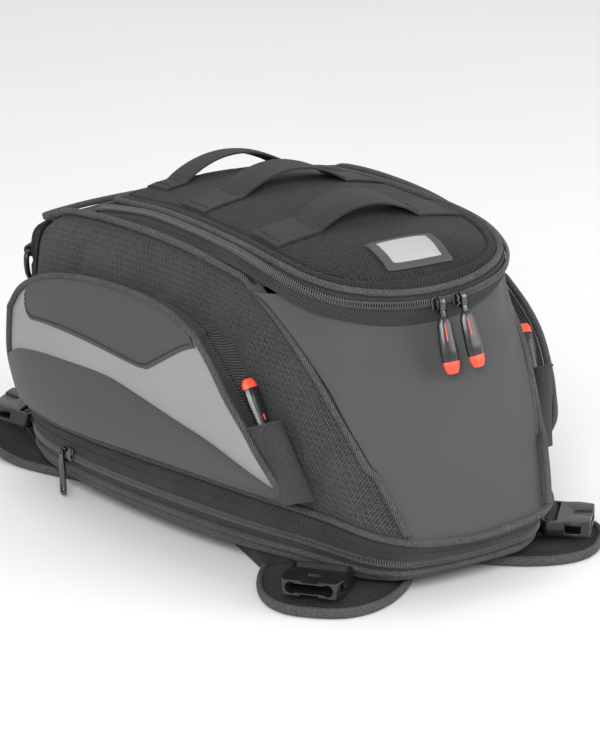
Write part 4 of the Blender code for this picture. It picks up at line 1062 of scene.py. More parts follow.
def make_strap(name, y, width, half_span, foot, rise, lean):
    """A webbing loop across the lid. The arch leans along Y by a share of its height."""
    columns = 90
    outer, inner = [], []
    for k in range(9):
        share = k / 8
        crown = 0.25 * (1 - abs(2 * share - 1) ** 6)
        top, under = [], []
        for i in range(columns + 1):
            x = -foot + 2 * foot * i / columns
            lift = strap_height(x, half_span, rise)
            place = y - width / 2 + width * share
            low = lid_height(x, place) + 0.5 - 0.5 * smoothstep((abs(x) - foot + 6) / 6)
            shift = lift * lean
            under.append(Vector((x, place + shift, low + lift)))
            top.append(Vector((x, place + shift, low + lift + WEBBING_THICK - 0.25 + crown)))
        outer.append(top)
        inner.append(under)
    made = slab(f"{name}_skin", "webbing", outer, inner, "lid", [name])
    lines = []
    for side in (-1, 1):
        for x in (half_span + 3, foot - 5):
            path = [outer[j][0].copy() for j in range(9)]
            path = [Vector((side * x, p.y, lid_height(x, p.y) + WEBBING_THICK + 0.65))
                    for p in path]
            lines.append((path[1:-1], [Vector((0, 0, 1))] * 7))
    stitches(f"{name}_tacks", lines, "lid")
    return made


def make_lid_straps():
    make_strap("front_lid_strap", -53, WEBBING, 42, 80, 13, 0)
    make_strap("rear_lid_strap", 56, WEBBING, 45, 80, 13, 0)
    make_strap("carry_handle", 142, 34, 48, 66, 14, 0.28)


PATCH = [(-27, -9), (-22, -14.5), (25, -14.5), (28, -11), (28, 9), (22, 14.5), (-25, 14.5),
         (-28, 11)]


def raised(name, look, scale, low, high, middle, replaced=()):
    """A flat moulded badge that follows the lid: an outline, scaled about its middle."""
    outline = whole([(x, y, 0) for x, y in PATCH + PATCH[:1]], 64, False)[:-1]
    rows = []
    for grow, lift in ((1.0, low), (1.0, high - 0.3), (0.985, high), (0.6, high), (0.25, high)):
        rows.append([Vector((middle.x + p.x * scale * grow, middle.y + p.y * scale * grow, lift))
                     for p in outline])
    bottom = [[Vector((p.x, p.y, low)) for p in rows[k]] for k in (3, 4)]
    rows = bottom[::-1] + rows
    for row in rows:
        for p in row:
            p.z += lid_height(p.x, p.y)
    bm = bmesh.new()
    verts = grid_mesh(bm, rows, closed_across=True)
    cap(bm, verts[0])
    cap(bm, verts[-1])
    return finish(bm, name, look, "lid", replaced)


def make_patch():
    middle = Vector((0, -125, 0))
    raised("patch_base", "rubber", 1.0, 0.4, 2.0, middle, ["lid_patch"])
    raised("patch_panel", "patch_print", 0.74, 1.6, 2.6, middle)


# Side pockets.

COLUMNS, ROWS = 84, 36  # of the pocket face's surface


def on_wall(points, wall, gap):
    """The points moved along X to just outside the side panel."""
    out = []
    flat = [q for row in wall for q in row]
    for p in points:
        near = min(flat, key=lambda q: (q.y - p.y) ** 2 + (q.z - p.z) ** 2)
        out.append(Vector((near.x + gap, p.y, p.z)))
    return out


def face_grid(columns=COLUMNS, rows=ROWS):
    """The bulging pocket face: columns run from the rear to the front, rows from the bottom."""
    grid = coons(whole(FACE_BOTTOM, columns + 1, False), whole(FACE_TOP, columns + 1, False),
                 whole(FACE_REAR, rows + 1, False), whole(FACE_FRONT, rows + 1, False)[::-1])
    for j, row in enumerate(grid):
        for i, p in enumerate(row):
            u, v = i / columns, j / rows
            p += Vector((1, -0.15, 0)) * FACE_BULGE * math.sin(math.pi * u) ** 0.7 \
                * math.sin(math.pi * v ** 0.75)
    return grid


def rim_of(grid):
    """The border of a grid as a loop: bottom from the rear, front up, top back, rear down."""
    return grid[0] + [row[-1] for row in grid[1:]] + grid[-1][-2::-1] \
        + [row[0] for row in grid[-2:0:-1]]


FACE = face_grid()
FACE_NORMALS = grid_normals(FACE, Vector((100, 60, 115)))


def face_place(u, v, lift=0.0):
    """The point at a place on the face, lifted off it."""
    u, v = min(max(u, 0.0), 1.0), min(max(v, 0.0), 1.0)
    i, j = min(int(u * COLUMNS), COLUMNS - 1), min(int(v * ROWS), ROWS - 1)
    a, b = u * COLUMNS - i, v * ROWS - j

    def mix(table):
        low = table[j][i].lerp(table[j][i + 1], a)
        return low.lerp(table[j + 1][i].lerp(table[j + 1][i + 1], a), b)

    return mix(FACE) + mix(FACE_NORMALS).normalized() * lift


def root_loop():
    """The line on the side panel under each point of the face's border."""
    wall = side_grid(60, 40)
    bottom = [Vector((0, p.y, p.z + 4)) for p in whole(FACE_BOTTOM, COLUMNS + 1, False)]
    front = whole(ROOT_FRONT, ROWS + 1, False)[::-1]
    top = whole(ROOT_TOP, COLUMNS + 1, False)[::-1]
    rear = whole(ROOT_REAR, ROWS + 1, False)[::-1]
    return on_wall(bottom[:-1] + front + top[1:] + rear[1:-1], wall, -0.8)


def gusset_profiles():
    """For each point of the face's rim from the front foot round to the rear one: its gusset.

    Each is the seam on the panel, the bulging middle where the zip runs, and the rim.
    """
    rim, root = rim_of(FACE), root_loop()
    count = len(rim)
    out = []
    for k in list(range(COLUMNS, count)) + [0]:
        p, q = root[k], rim[k]
        along = rim[(k + 1) % count] - rim[k - 1]
        side = along.cross(q - p).normalized()
        front = COLUMNS <= k <= COLUMNS + ROWS
        share = min(1.0, (q - p).length / 28)
        bulge = GUSSET_BULGE * share * (1 if front else 0.55)
        out.append((p, p.lerp(q, ZIP_SHARE) + side * bulge, q, side))
    return out


def arc_between(p, middle, q, share):
    """A smooth arc through three points; share 0.5 is the middle one."""
    a, b, c = (1 - share) * (1 - 2 * share), 4 * share * (1 - share), share * (2 * share - 1)
    return p * a + middle * b + q * c


def make_pocket_gusset(side, sign, profiles):
    """Both halves of the gusset: one stays on the side panel and one opens with the face."""
    parts = (("panel", 0.0, 0.485, "shell", [f"pocket_gusset_{side}"]),
             ("cover", 0.515, 1.0, f"pocket_cover_{side}", []))
    for name, low, high, body, replaced in parts:
        steps = 9
        outer, inner = [], []
        for k in range(steps):
            share = low + (high - low) * k / (steps - 1)
            lip = 0.8 * (abs(share - 0.5) < 0.07)
            row = [arc_between(p, m, q, share) - s * lip for p, m, q, s in profiles]
            outer.append(flip(row, sign))
            inner.append(flip([a - s * 1.4 for a, (_, _, _, s) in zip(row, profiles)], sign))
        slab(f"gusset_{name}_{side}", "chevron", outer, inner, body, replaced)


def make_face(side, sign):
    body = f"pocket_cover_{side}"
    rolled_in = rolled(FACE, 0.8, 5)
    grid = [flip(row, sign) for row in rolled_in]
    inner = [flip([p - n * 1.8 for p, n in zip(row, line)], sign)
             for row, line in zip(rolled_in, FACE_NORMALS)]
    slab(f"face_skin_{side}", "reflective", grid, inner, body, [f"pocket_face_{side}"])
    rim, normals = rim_of(FACE), rim_of(FACE_NORMALS)
    middle = FACE[ROWS // 2][COLUMNS // 2]
    start = COLUMNS
    proud = [p + (p - middle).normalized() * 0.6 + n * 1.2 for p, n in zip(rim, normals)]
    path = proud[start:] + proud[:1]
    tube(f"face_piping_{side}", "binding", flip(resample(path, 150), sign), POCKET_PIPING, body,
         replaced=[f"pocket_piping_{side}"])
    foot = [p + n * 0.6 for p, n in zip(rim, normals)][:start + 1]
    tube(f"face_foot_{side}", "binding", flip(resample(foot, 70), sign), 1.4, body)


def edge_height(points, u):
    for (a, low), (b, high) in zip(points, points[1:]):
        if u <= b:
            t = (u - a) / max(b - a, 1e-6)
            return low + (high - low) * min(max(t, 0), 1)
    return points[-1][1]


def make_pad(side, sign):
    """The padded softshell panel over the lower half of the face."""
    line = whole([(u, v, 0) for u, v in PAD_EDGE], 90, False)
    points = [(p.x, p.y) for p in line]
    columns, rows = 80, 22
    outer, inner = [], []
    for j in range(rows + 1):
        t = j / rows
        top, under = [], []
        for i in range(columns + 1):
            u = 0.004 + 0.985 * i / columns
            v = 0.01 + (edge_height(points, u) - 0.01) * t
            ends = min(u / 0.05, (0.995 - u) / 0.2, 1.0)
            sides = min(t / 0.16, (1 - t) / 0.1, 1.0)
            lift = 0.5 + 4.2 * math.sqrt(max(math.sin(math.pi / 2 * max(sides, 0)), 0)) \
                * math.sqrt(max(math.sin(math.pi / 2 * max(ends, 0)), 0))
            top.append(face_place(u, v, lift))
            under.append(face_place(u, v, 0.15))
        outer.append(top)
        inner.append(under)
    outer = blown(outer, 4.0, 3.0, slack=0.0)
    made = slab(f"pad_skin_{side}", "softshell", [flip(row, sign) for row in outer],
                [flip(row, sign) for row in inner], f"pocket_cover_{side}", [f"pocket_pad_{side}"])


def make_yoke(side, sign):
    """The softshell panel over the top of the face, with its stitched edge."""
    line = whole([(u, v, 0) for u, v in YOKE_EDGE], 90, False)
    rows = 14
    outer, inner = [], []
    for j in range(rows + 1):
        t = j / rows
        row, under = [], []
        for k, p in enumerate(line):
            start = 0.13 + (0.955 - 0.13) * k / (len(line) - 1)
            u, v = p.x + (start - p.x) * t, p.y + (0.995 - p.y) * t
            lift = 0.5 + 1.3 * min(1.0, math.sqrt(t / 0.12))
            row.append(face_place(u, v, lift))
            under.append(face_place(u, v, 0.1))
        outer.append(row)
        inner.append(under)
    slab(f"yoke_skin_{side}", "softshell", [flip(row, sign) for row in outer],
         [flip(row, sign) for row in inner], f"pocket_cover_{side}", [f"pocket_badge_{side}"])
    seam, normals = [], []
    for k, p in enumerate(line[6:]):
        k += 6
        inside = face_place(0.13 + (0.955 - 0.13) * k / (len(line) - 1), 0.995)
        here = face_place(p.x, p.y)
        t = min(3.4 / max((inside - here).length, 1), 1.0)
        start = 0.13 + (0.955 - 0.13) * k / (len(line) - 1)
        seam.append(face_place(p.x + (start - p.x) * t, p.y + (0.995 - p.y) * t, 1.95))
        normals.append((seam[-1] - face_place(p.x + (start - p.x) * t,
                                              p.y + (0.995 - p.y) * t, 0)).normalized())
    stitches(f"yoke_stitches_{side}", [(flip(seam, sign), flip(normals, sign))],
             f"pocket_cover_{side}", long=2.4, gap=1.3, radius=0.42)


# Zip garage of the side pocket: a sewn sleeve that hides the lower end of the zip.

SLEEVE_MOUTH = (Vector((132, -113, 119)), Vector((109, -124, 124)))
SLEEVE_FOOT = (Vector((117, -141, 67)), Vector((96, -150, 69)))
SLEEVE_OUT = Vector((0.12, -0.86, 0.42)).normalized()


def make_garage(side, sign):
    steps, arc = 26, 16
    outer, inner = [], []
    for j in range(arc + 1):
        t = j / arc
        row, under = [], []
        for k in range(steps + 1):
            s = k / steps
            left = SLEEVE_FOOT[0].lerp(SLEEVE_MOUTH[0], s)
            right = SLEEVE_FOOT[1].lerp(SLEEVE_MOUTH[1], s)
            height = 4.0 + 8.0 * smoothstep(s * 1.1)
            bow = math.sin(math.pi * t) ** 0.6
            p = left.lerp(right, t) + SLEEVE_OUT * height * bow
            row.append(p)
            under.append(p - SLEEVE_OUT * 1.5)
        outer.append(row)
        inner.append(under)
    body = f"pocket_cover_{side}"
    slab(f"garage_skin_{side}", "gusset", [flip(row, sign) for row in outer],
         [flip(row, sign) for row in inner], body, [f"zip_garage_{side}"])
    hem = [row[-1] for row in outer]
    tube(f"garage_hem_{side}", "gusset", flip(resample(hem, 40), sign), 1.1, body)


# Sliders and pulls. In their own frame the pin is along X at the origin, the tape lies towards
# +Y and the pull hangs towards -Z.

def frame_of(place, back, up):
    """The frame at a place whose +Y points back to the tape and whose +Z points up."""
    columns = (back.cross(up), back, up, place)
    return Matrix([[column[row] for column in columns] for row in range(3)] + [[0, 0, 0, 1]])


FLAT_TO_FRONT = Matrix(((1, 0, 0, 0), (0, 0, -1, 0), (0, 1, 0, 0), (0, 0, 0, 1)))
SIDEWAYS = Matrix(((0, 0, 1, 0), (-1, 0, 0, 0), (0, 1, 0, 0), (0, 0, 0, 1)))
TAPE_TO_PIN = 7.0


def rounded(points, radius, steps=4):
    """An outline with its corners rounded."""
    out = []
    count = len(points)
    for i in range(count):
        a, b, c = (Vector(points[(i + k - 1) % count]) for k in range(3))
        cut_a = min(radius, (a - b).length * 0.45)
        cut_c = min(radius, (c - b).length * 0.45)
        p, q = b + (a - b).normalized() * cut_a, b + (c - b).normalized() * cut_c
        for k in range(steps + 1):
            t = k / steps
            out.append(tuple(p * (1 - t) ** 2 + b * 2 * t * (1 - t) + q * t * t))
    return out


def make_slider(name, turn, body, replaced):
    """A cast slider: a shield-shaped top plate on the coil, and an arched bridge for the pull."""
    plate = rounded([(-4.6, 5.2), (4.6, 5.2), (5.4, 1.0), (3.4, -6.2), (-3.4, -6.2), (-5.4, 1.0)],
                    1.6)
    solid(f"{name}_plate", "slider_metal", plate, TAPE_TO_PIN - 5.0 - 7.0, TAPE_TO_PIN - 3.2 - 7.0,
          body, turn @ FLAT_TO_FRONT @ Matrix.Translation((0, 0, -1.2)), bevel=0.7, replaced=replaced)
    arch = [(-1.0, 6.6), (1.6, 6.4), (4.0, 3.4), (4.4, 0), (4.0, -3.4), (1.6, -5.8), (-1.0, -6.2),
            (-1.0, -3.6), (0.6, -3.2), (2.2, -1.6), (2.4, 0), (2.2, 1.6), (0.6, 3.0), (-1.0, 3.4)]
    solid(f"{name}_bridge", "slider_metal", rounded(arch, 1.2, 3), -2.1, 2.1, body,
          turn @ SIDEWAYS @ Matrix.Translation((-1.4, 0, 0)), bevel=0.7)


def make_pull(name, turn, body, length, replaced, tip_replaced):
    """A faceted pull: metal eye and neck, dark body with a red stripe, and a red moulded tip."""
    half = 7.0
    tip = 9.0
    eye = [(2.6 * math.cos(a), 2.6 * math.sin(a)) for a in
           (math.tau * k / 20 for k in range(20))]
    hole = [(1.3 * x / 2.6, 1.3 * y / 2.6) for x, y in eye]
    solid(f"{name}_eye", "slider_metal", eye, -1.1, 1.1, body, turn @ SIDEWAYS, bevel=0.4,
          holes=((hole, -4, 4),))
    neck = [(-1.5, -1.9), (1.5, -1.9), (2.1, -9.5), (-2.1, -9.5)]
    solid(f"{name}_neck", "slider_metal", rounded(neck, 0.5), -1.0, 1.0, body,
          turn @ FLAT_TO_FRONT, bevel=0.4)
    low = -length + tip
    faceted(f"{name}_skin", "pull_plastic",
            ((-8.6, 2.6, 1.5), (-10.0, 4.2, 2.3), (-14, half * 0.82, 3.0),
             (-length * 0.66, half, 3.1), (low, half * 0.96, 2.9)), body, turn, replaced)
    faceted(f"{name}_tip", "pull_tip",
            ((low, half * 0.98, 3.0), (low - tip * 0.5, half * 0.88, 2.8),
             (-length + 0.8, half * 0.66, 2.2), (-length, half * 0.5, 1.6)),
            body, turn, tip_replaced)
    stripe = [(-0.5, -13.5), (0.5, -13.5), (0.5, -length * 0.52), (-0.5, -length * 0.52)]
    solid(f"{name}_stripe", "pull_tip", stripe, 3.0, 3.35, body, turn @ FLAT_TO_FRONT
          @ Matrix.Translation((-1.6, 0, 0)), bevel=0.1, segments=1)


def faceted(name, look, sections, body, turn, replaced=()):
    """An eight-sided bar through (height, half width, half depth) sections."""
    rows = []
    for z, wide, deep in sections:
        rows.append([turn @ Vector((x * wide, y * deep, z)) for x, y in
                     ((-1, -0.35), (-0.55, -1), (0.55, -1), (1, -0.35), (1, 0.35), (0.55, 1),
                      (-0.55, 1), (-1, 0.35))])
    bm = bmesh.new()
    verts = grid_mesh(bm, rows, closed_across=True)
    cap(bm, verts[0])
    cap(bm, verts[-1])
    made = finish(bm, name, look, body, replaced, angle=15)
    edge = made.modifiers.new("bevel", "BEVEL")
    edge.width = 0.35 * MM
    edge.segments = 2
    edge.limit_method = "ANGLE"
    edge.angle_limit = math.radians(20)
    applied(made, 30)
    return made


def make_main_sliders():
    arc_centre = ZIP_FRONT + ZIP_OUT * ZIP_ARC_RADIUS
    for side, x in (("left", 1.0), ("right", 19.0)):
        angle = math.asin(x / ZIP_ARC_RADIUS)
        pin = Vector((0, ZIP_FRONT.y - 1.2 - TAPE_TO_PIN, ZIP_FRONT.z - 1.5))
        turn = Matrix.Translation(arc_centre) @ Matrix.Rotation(angle, 4, ZIP_AXIS) \
            @ Matrix.Translation(-arc_centre) @ Matrix.Translation(pin)
        make_slider(f"slider_skin_{side}", turn, f"main_slider_{side}", [f"main_slider_{side}"])
        lean = turn @ Matrix.Rotation(-math.radians(18), 4, "X")
        make_pull(f"pull_skin_{side}", lean, f"main_pull_{side}", 50.0, [f"main_pull_{side}"],
                  [f"main_pull_tip_{side}"])


ZIP_ARC_RADIUS = 144.0
ZIP_FRONT = Vector((0, -157, 205))
ZIP_OUT = Vector((0, math.cos(math.radians(25)), math.sin(math.radians(25))))
ZIP_AXIS = Vector((0, -math.sin(math.radians(25)), math.cos(math.radians(25))))


def make_expansion_slider():
    ring = band_ring(0.58, 0, 60)
    place = min((p for p in ring if p.x < 0), key=lambda p: abs(p.y - 129))
    index = ring.index(place)
    along = (ring[index + 1] - ring[index - 1]).normalized()
    out = along.cross(Vector((0, 0, 1)))
    out = out if out.x < 0 else -out
    pin = place + out * (TAPE_TO_PIN + 0.4)
    turn = frame_of(pin, -out, Vector((0, 0, 1)))
    slide = turn @ Matrix.Translation((0, 1.0, -3.0))
    make_slider("expansion_slider_skin", slide, "expansion_slider", ["expansion_slider"])
    outline = rounded([(-2.4, 2.6), (-2.8, -5), (-3.4, -10), (-3.9, -33), (-2.6, -36), (2.6, -36),
                       (3.9, -33), (3.4, -10), (2.8, -5), (2.4, 2.6)], 1.6)
    eye = [(1.4 * math.cos(math.tau * k / 16), 1.4 * math.sin(math.tau * k / 16))
           for k in range(16)]
    drop = rounded([(-1.3, -27), (1.3, -27), (2.2, -33.5), (-2.2, -33.5)], 1.2)
    solid("expansion_pull_skin", "slider_metal", outline, -1.0, 1.0, "expansion_pull",
          turn @ FLAT_TO_FRONT @ Matrix.Translation((0, 0, 1.5)), bevel=0.5,
          replaced=["expansion_pull"], holes=((eye, -4, 4), (drop, -4, 4)))


PULL_LOW = Vector((116.4, -117.5, 112))
PULL_HIGH = Vector((120.2, -95.5, 150.8))


def make_pocket_pull(side, sign):
    """The pull of the pocket's zip stands tip up out of its sleeve."""
    up = (PULL_HIGH - PULL_LOW).normalized()
    across = Vector((0.9895, -0.144, -0.0113))
    across = (across - up * across.dot(up)).normalized()
    out = up.cross(across)
    out = out if out.y < 0 else -out
    columns = (across, -out, -up, PULL_LOW)
    turn = Matrix([[column[row] for column in columns] for row in range(3)] + [[0, 0, 0, 1]])
    if sign < 0:
        turn = Matrix.Scale(-1, 4, Vector((1, 0, 0))) @ turn
    body = f"pocket_slider_{side}"
    length = (PULL_HIGH - PULL_LOW).length
    half = 6.4
    faceted(f"pocket_pull_skin_{side}", "pull_plastic",
            ((0, half * 0.7, 2.2), (-6, half * 0.78, 2.7), (-length * 0.6, half, 3.0),
             (-length + 6.5, half * 0.98, 2.9)), body, turn, [f"pocket_zip_pull_{side}"])
    faceted(f"pocket_pull_tip_{side}", "pull_tip",
            ((-length + 7.2, half * 1.0, 2.95), (-length + 3, half * 0.9, 2.7),
             (-length, half * 0.6, 2.0)), body, turn)
    stripe = [(-0.6, -17), (0.6, -17), (0.6, -12.5), (-0.6, -12.5)]
    solid(f"pocket_pull_stripe_{side}", "pull_tip", stripe, 2.7, 3.3, body,
          turn @ FLAT_TO_FRONT @ Matrix.Translation((-1.2, 0, 0)), bevel=0.1, segments=1)


def make_pockets():
    profiles = gusset_profiles()
    for side, sign in SIDES:
        make_pocket_gusset(side, sign, profiles)
        make_face(side, sign)
        make_pad(side, sign)
        make_yoke(side, sign)
        make_garage(side, sign)
        make_pocket_pull(side, sign)


# Rear corner rings.

RING_BAR = Vector((137, 224, 177))


def make_ring(side, sign):
    out = Vector((0.66, 0.75, 0)).normalized()
    wide = Vector((out.y, -out.x, 0))
    half = [(0, 0), (10, 0), (14.4, 0.6), (16.8, 4), (17, 10), (15, 17.5), (9.5, 23), (0, 25.5)]
    points = [RING_BAR + wide * a - Vector((0, 0, 1)) * b for a, b in half]
    other = [RING_BAR - wide * a - Vector((0, 0, 1)) * b for a, b in half[-2:0:-1]]
    path = whole(points + other + points[:1], 90, False)[:-1]
    tube(f"ring_skin_{side}", "buckle_plastic", flip(path, sign), 2.3, f"ring_{side}", True,
         [f"corner_ring_{side}"], sides=16)
    bend = [(-12.5, 3.8), (-4, 3.5), (1.5, 3.9), (4.0, 2.2), (4.2, -1.2), (2.4, -3.6), (-4, -3.9),
            (-12.5, -5.2)]
    line = whole([(x, 0, z) for x, z in bend], 26, False)
    outer, inner = [], []
    for k in range(7):
        a = -9.5 + 19 * k / 6
        row, under = [], []
        for p, t in zip(line, around(line, False)):
            n = Vector((-t.z, 0, t.x))
            for rows, gap in ((row, 0.9), (under, -0.7)):
                q = p + n * gap
                rows.append(RING_BAR + wide * a + out * q.x + Vector((0, 0, q.z)))
        outer.append(row)
        inner.append(under)
    slab(f"ring_tab_skin_{side}", "webbing", [flip(row, sign) for row in outer],
         [flip(row, sign) for row in inner], "shell", [f"ring_tab_{side}"])


# The harness: a saddle under the base and four wings that fold down over the fuel tank.

WINGS = (
    # name, root middle, direction in degrees from +X, length, buckle bar, rise of the tip, perch
    ("front_left", (-72, -137), -133.0, 78.0, 36.0, 0.0, 4.0),
    ("front_right", (72, -137), -47.0, 78.0, 36.0, 0.0, 4.0),
    ("rear_left", (-85, 160), 123.0, 139.0, 98.0, 14.0, 14.0),
    ("rear_right", (85, 160), 57.0, 139.0, 98.0, 14.0, 14.0),
)
WING_THICK = 8.0


def wing_frame(root, degrees):
    return Matrix.Translation((*root, 0)) @ Matrix.Rotation(math.radians(degrees), 4, "Z")


def wing_rise(x, length, rise):
    start = length * 0.5
    return rise * max(0.0, (x - start) / (length - start)) ** 2


def make_wing(name, root, degrees, length, rise):
    """A padded tongue with a woven binding round its edge."""
    turn = wing_frame(root, degrees)
    body = f"wing_{name}"
    rim = []
    for k in range(-40, 41):
        t = math.pi / 2 * (1 - abs(k) / 40)
        half = WING_HALF_WIDTH * math.cos(t) ** 0.72 if abs(k) else 0.0
        rim.append(Vector((0.8 + (length - 2.6) * math.sin(t), math.copysign(max(half - 1.6, 0), k), 0)))
    rim = resample(rim, 90)
    rings = []
    for share in (1.0, 0.97, 0.93, 0.88, 0.86, 0.83, 0.75, 0.6, 0.4, 0.2, 0.05):
        ring = []
        for p in rim:
            q = Vector((0.8 + (p.x - 0.8) * share, p.y * share, 0))
            lift = wing_rise(q.x, length, rise)
            edge = (1 - share) * min(length, WING_HALF_WIDTH)
            thick = 4.0 + 4.0 * smoothstep(edge / 9) - 1.3 * math.exp(-((edge - 7.6) / 1.2) ** 2)
            ring.append(turn @ Vector((q.x, q.y, lift + thick)))
        rings.append(ring)
    under = []
    for share in (0.05, 0.5, 0.9, 1.0):
        under.append([turn @ Vector((0.8 + (p.x - 0.8) * share, p.y * share,
                                     wing_rise(0.8 + (p.x - 0.8) * share, length, rise)
                                     + 0.2 + 2.2 * (share == 1.0))) for p in rim])
    bm = bmesh.new()
    verts = grid_mesh(bm, rings[::-1] + under[::-1], closed_across=False)
    for row in (verts[0], verts[-1]):
        cap(bm, row)
    sides = [[row[0] for row in verts], [row[-1] for row in verts]]
    cap(bm, [v for v in sides[0]] + [v for v in sides[1]][::-1])
    bmesh.ops.triangulate(bm, faces=[f for f in bm.faces if len(f.verts) > 4])
    planar_weave(bm)
    made = finish(bm, f"wing_skin_{name}", "lid_fabric", body, [f"wing_{name}"])
    path = [turn @ Vector((p.x, p.y, wing_rise(p.x, length, rise) + 4.2)) for p in rim]
    bm = bmesh.new()
    shape = [(a * 2.4, b * 3.9) for a, b in round_shape(1.0, 14)]
    verts = grid_mesh(bm, rings_of(path, False, shape), False, True)
    cap(bm, verts[0])
    cap(bm, verts[-1])
    finish(bm, f"wing_binding_{name}", "binding", body)


BUCKLE_TURN = math.radians(6)
BAR_HEIGHT = 14.8
BUCKLE_WIDTH, BUCKLE_LENGTH, BUCKLE_HEIGHT = 46.0, 36.0, 12.0


def make_buckle(name, turn, length, bar, rise, perch):
    """The female half of a side-release buckle, and the webbing loop that it is perched on."""
    outwards = 1 if name in ("front_right", "rear_left") else -1
    rise_angle = math.atan2(wing_rise(length, length, rise) - wing_rise(bar, length, rise),
                            length - bar) * 0.7
    lift = wing_rise((bar + length) / 2, length, rise) * 0.6
    place = turn @ Matrix.Translation((bar, 2.0 * outwards, 0)) \
        @ Matrix.Rotation(BUCKLE_TURN * outwards, 4, "Z") @ Matrix.Rotation(-rise_angle, 4, "Y")
    local = place @ Matrix.Translation((0, 0, BAR_HEIGHT + perch + lift))
    body = f"buckle_{name}"
    half, end = BUCKLE_WIDTH / 2, BUCKLE_LENGTH - 2
    outline = rounded([(-2.6, -half + 3), (1, -half), (13, -half + 1.5), (22, -half), (end, -half + 3),
                       (end, half - 3), (22, half), (13, half - 1.5), (1, half), (-2.6, half - 3)], 2.5)
    slot = WEBBING / 2 + 0.6
    window = rounded([(15, 14.5), (27, 14.5), (27, 40), (15, 40)], 1.5)
    mirror = [(x, -y) for x, y in window][::-1]
    hole = rounded([(2.2, -slot), (8.6, -slot), (8.6, slot), (2.2, slot)], 1.4)
    relief = rounded([(20, -5), (end + 6, -7.5), (end + 6, 7.5), (20, 5)], 1.5)
    made = solid(f"buckle_skin_{name}", "buckle_plastic", outline, -BUCKLE_HEIGHT / 2,
                 BUCKLE_HEIGHT / 2, body, local, bevel=0, replaced=[f"buckle_{name}"],
                 holes=((hole, -9, 9), (window, -2.9, 2.9), (mirror, -2.9, 2.9),
                        (relief, 4.6, 9), (relief, -9, -4.6)))
    mouth = dog_bone(18.0, 4.4)
    sideways = local @ Matrix(((0, 0, 1, 0), (1, 0, 0, 0), (0, 1, 0, 0), (0, 0, 0, 1)))
    cut(made, mouth, 12, 60, sideways, 9)
    edge = made.modifiers.new("bevel", "BEVEL")
    edge.width = 0.8 * MM
    edge.segments = 3
    edge.limit_method = "ANGLE"
    edge.angle_limit = math.radians(35)
    applied(made, 40)
    foot = 0.2 + WING_THICK - BAR_HEIGHT - perch
    loop = [(-30, foot + 0.9), (-16, foot + 0.9), (-6, foot + 3 + perch * 0.35), (1.0, -6.0), (5.0, -4.4),
            (6.6, 0), (5.0, 4.4), (0, 5.4), (-5, 1.0 - perch * 0.2), (-10, foot + 6 + perch * 0.2),
            (-17, foot + 3.0), (-30, foot + 2.9)]
    line = whole([(x, 0, z) for x, z in loop], 60, False)
    flat = place @ Matrix.Rotation(rise_angle, 4, "Y")
    outer, inner = [], []
    for k in range(9):
        y = -WEBBING / 2 + WEBBING * k / 8
        row, under = [], []
        for p, t in zip(line, around(line, False)):
            n = Vector((t.z, 0, -t.x))
            for rows, gap in ((row, 0.85), (under, -0.85)):
                q = p + n * gap
                share = smoothstep((q.x + 22) / 18)
                raised_up = BAR_HEIGHT + perch + wing_rise(bar + q.x + 2, length, rise)
                a, b = flat @ Vector((q.x, y, q.z + raised_up)), local @ Vector((q.x, y, q.z))
                rows.append(a.lerp(b, share))
        outer.append(row)
        inner.append(under)
    slab(f"buckle_strap_skin_{name}", "webbing", outer, inner, f"wing_{name}",
         [f"buckle_strap_{name}"])


def dog_bone(half, big):
    """Two rounded channels joined by a thinner slot, as (across, up) points."""
    out = []
    for sign in (1, -1):
        middle = (half - big) * sign
        for k in range(13):
            a = math.radians(-130 + 260 * k / 12)
            if sign < 0:
                a += math.pi
            out.append((middle + big * math.cos(a), big * math.sin(a)))
    return [(x, min(max(y, -big), big)) for x, y in out]


def make_saddle():
    half = [(0, -128), (24, -160)]
    for name, root, degrees, *_ in WINGS[1::2]:
        turn = wing_frame(root, degrees)
        ends = [turn @ Vector((-1.0, y, 0)) for y in (-WING_HALF_WIDTH, WING_HALF_WIDTH)]
        half += [(p.x, p.y) for p in ends]
        if name.startswith("front"):
            half += [(104, -40), (100, 30), (108, 90)]
    half += [(20, 168), (0, 150)]
    outline = half + [(-x, y) for x, y in half[-2:0:-1]]
    solid("saddle_skin", "lid_fabric", rounded(outline, 6), 0.1, 11.5, "base", bevel=2.0,
          replaced=["harness_saddle"])


def make_harness():
    make_saddle()
    for name, root, degrees, length, bar, rise, perch in WINGS:
        make_wing(name, root, degrees, length, rise)
        make_buckle(name, wing_frame(root, degrees), length, bar, rise, perch)


# Camera, floor and light.

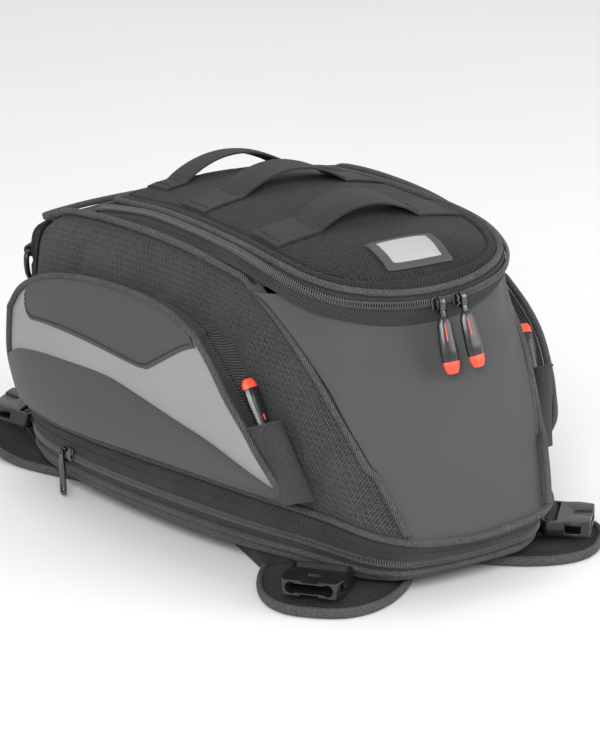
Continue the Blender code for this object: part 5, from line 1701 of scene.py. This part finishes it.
def make_camera():
    heading, dip, roll = math.radians(30), math.radians(18.3), math.radians(-1.1)
    view = Vector((math.sin(heading) * math.cos(dip), math.cos(heading) * math.cos(dip),
                   -math.sin(dip)))
    right = Vector((math.cos(heading), -math.sin(heading), 0))
    up = right.cross(view)
    across = right * math.cos(roll) + up * math.sin(roll)
    upright = up * math.cos(roll) - right * math.sin(roll)
    target, distance = Vector((-0.016, 0.0085, 0.108)), 2.165
    data = bpy.data.cameras.new("camera")
    data.sensor_width = 36
    data.lens = 135.3
    made = bpy.data.objects.new("camera", data)
    columns = (across, upright, -view, target - view * distance)
    made.matrix_world = Matrix([[column[row] for column in columns] for row in range(3)]
                               + [[0, 0, 0, 1]])
    bpy.context.scene.collection.objects.link(made)
    bpy.context.scene.camera = made


def area_light(name, place, size, power, aim=Vector((0, 0, 0.1))):
    data = bpy.data.lights.new(name, "AREA")
    data.shape = "DISK"
    data.size = size
    data.energy = power
    made = bpy.data.objects.new(name, data)
    made.location = place
    made.rotation_euler = (aim - place).to_track_quat("-Z", "Y").to_euler()
    bpy.context.scene.collection.objects.link(made)


def make_studio():
    bpy.ops.mesh.primitive_plane_add(size=12)
    floor = bpy.context.object
    floor.name = "floor"
    n = Nodes("floor_paint")
    floor.data.materials.append(n.finish(n.colour((0.86, 0.86, 0.86), (0.9, 0.9, 0.9),
                                                  n.noise(3.0)), 0.6))
    world = bpy.data.worlds.new("studio")
    world.use_nodes = True
    world.node_tree.nodes["Background"].inputs[0].default_value = (1, 1, 1, 1)
    world.node_tree.nodes["Background"].inputs[1].default_value = 0.72
    bpy.context.scene.world = world
    area_light("key", Vector((-1.5, -2.0, 1.7)), 1.5, 52)
    area_light("fill", Vector((1.9, -1.8, 1.2)), 1.8, 30)
    area_light("top", Vector((0.2, 0.8, 2.6)), 1.6, 10)
    bpy.context.scene.view_settings.view_transform = "Standard"


def main():
    make_camera()
    make_studio()
    make_base()
    make_shell_skirt()
    make_panels()
    make_body_piping()
    make_top_gusset()
    make_lid_hinge()
    make_lid()
    make_main_zip()
    make_lid_straps()
    make_patch()
    make_main_sliders()
    make_expansion_slider()
    make_pockets()
    for side, sign in SIDES:
        make_ring(side, sign)
    make_harness()


main()
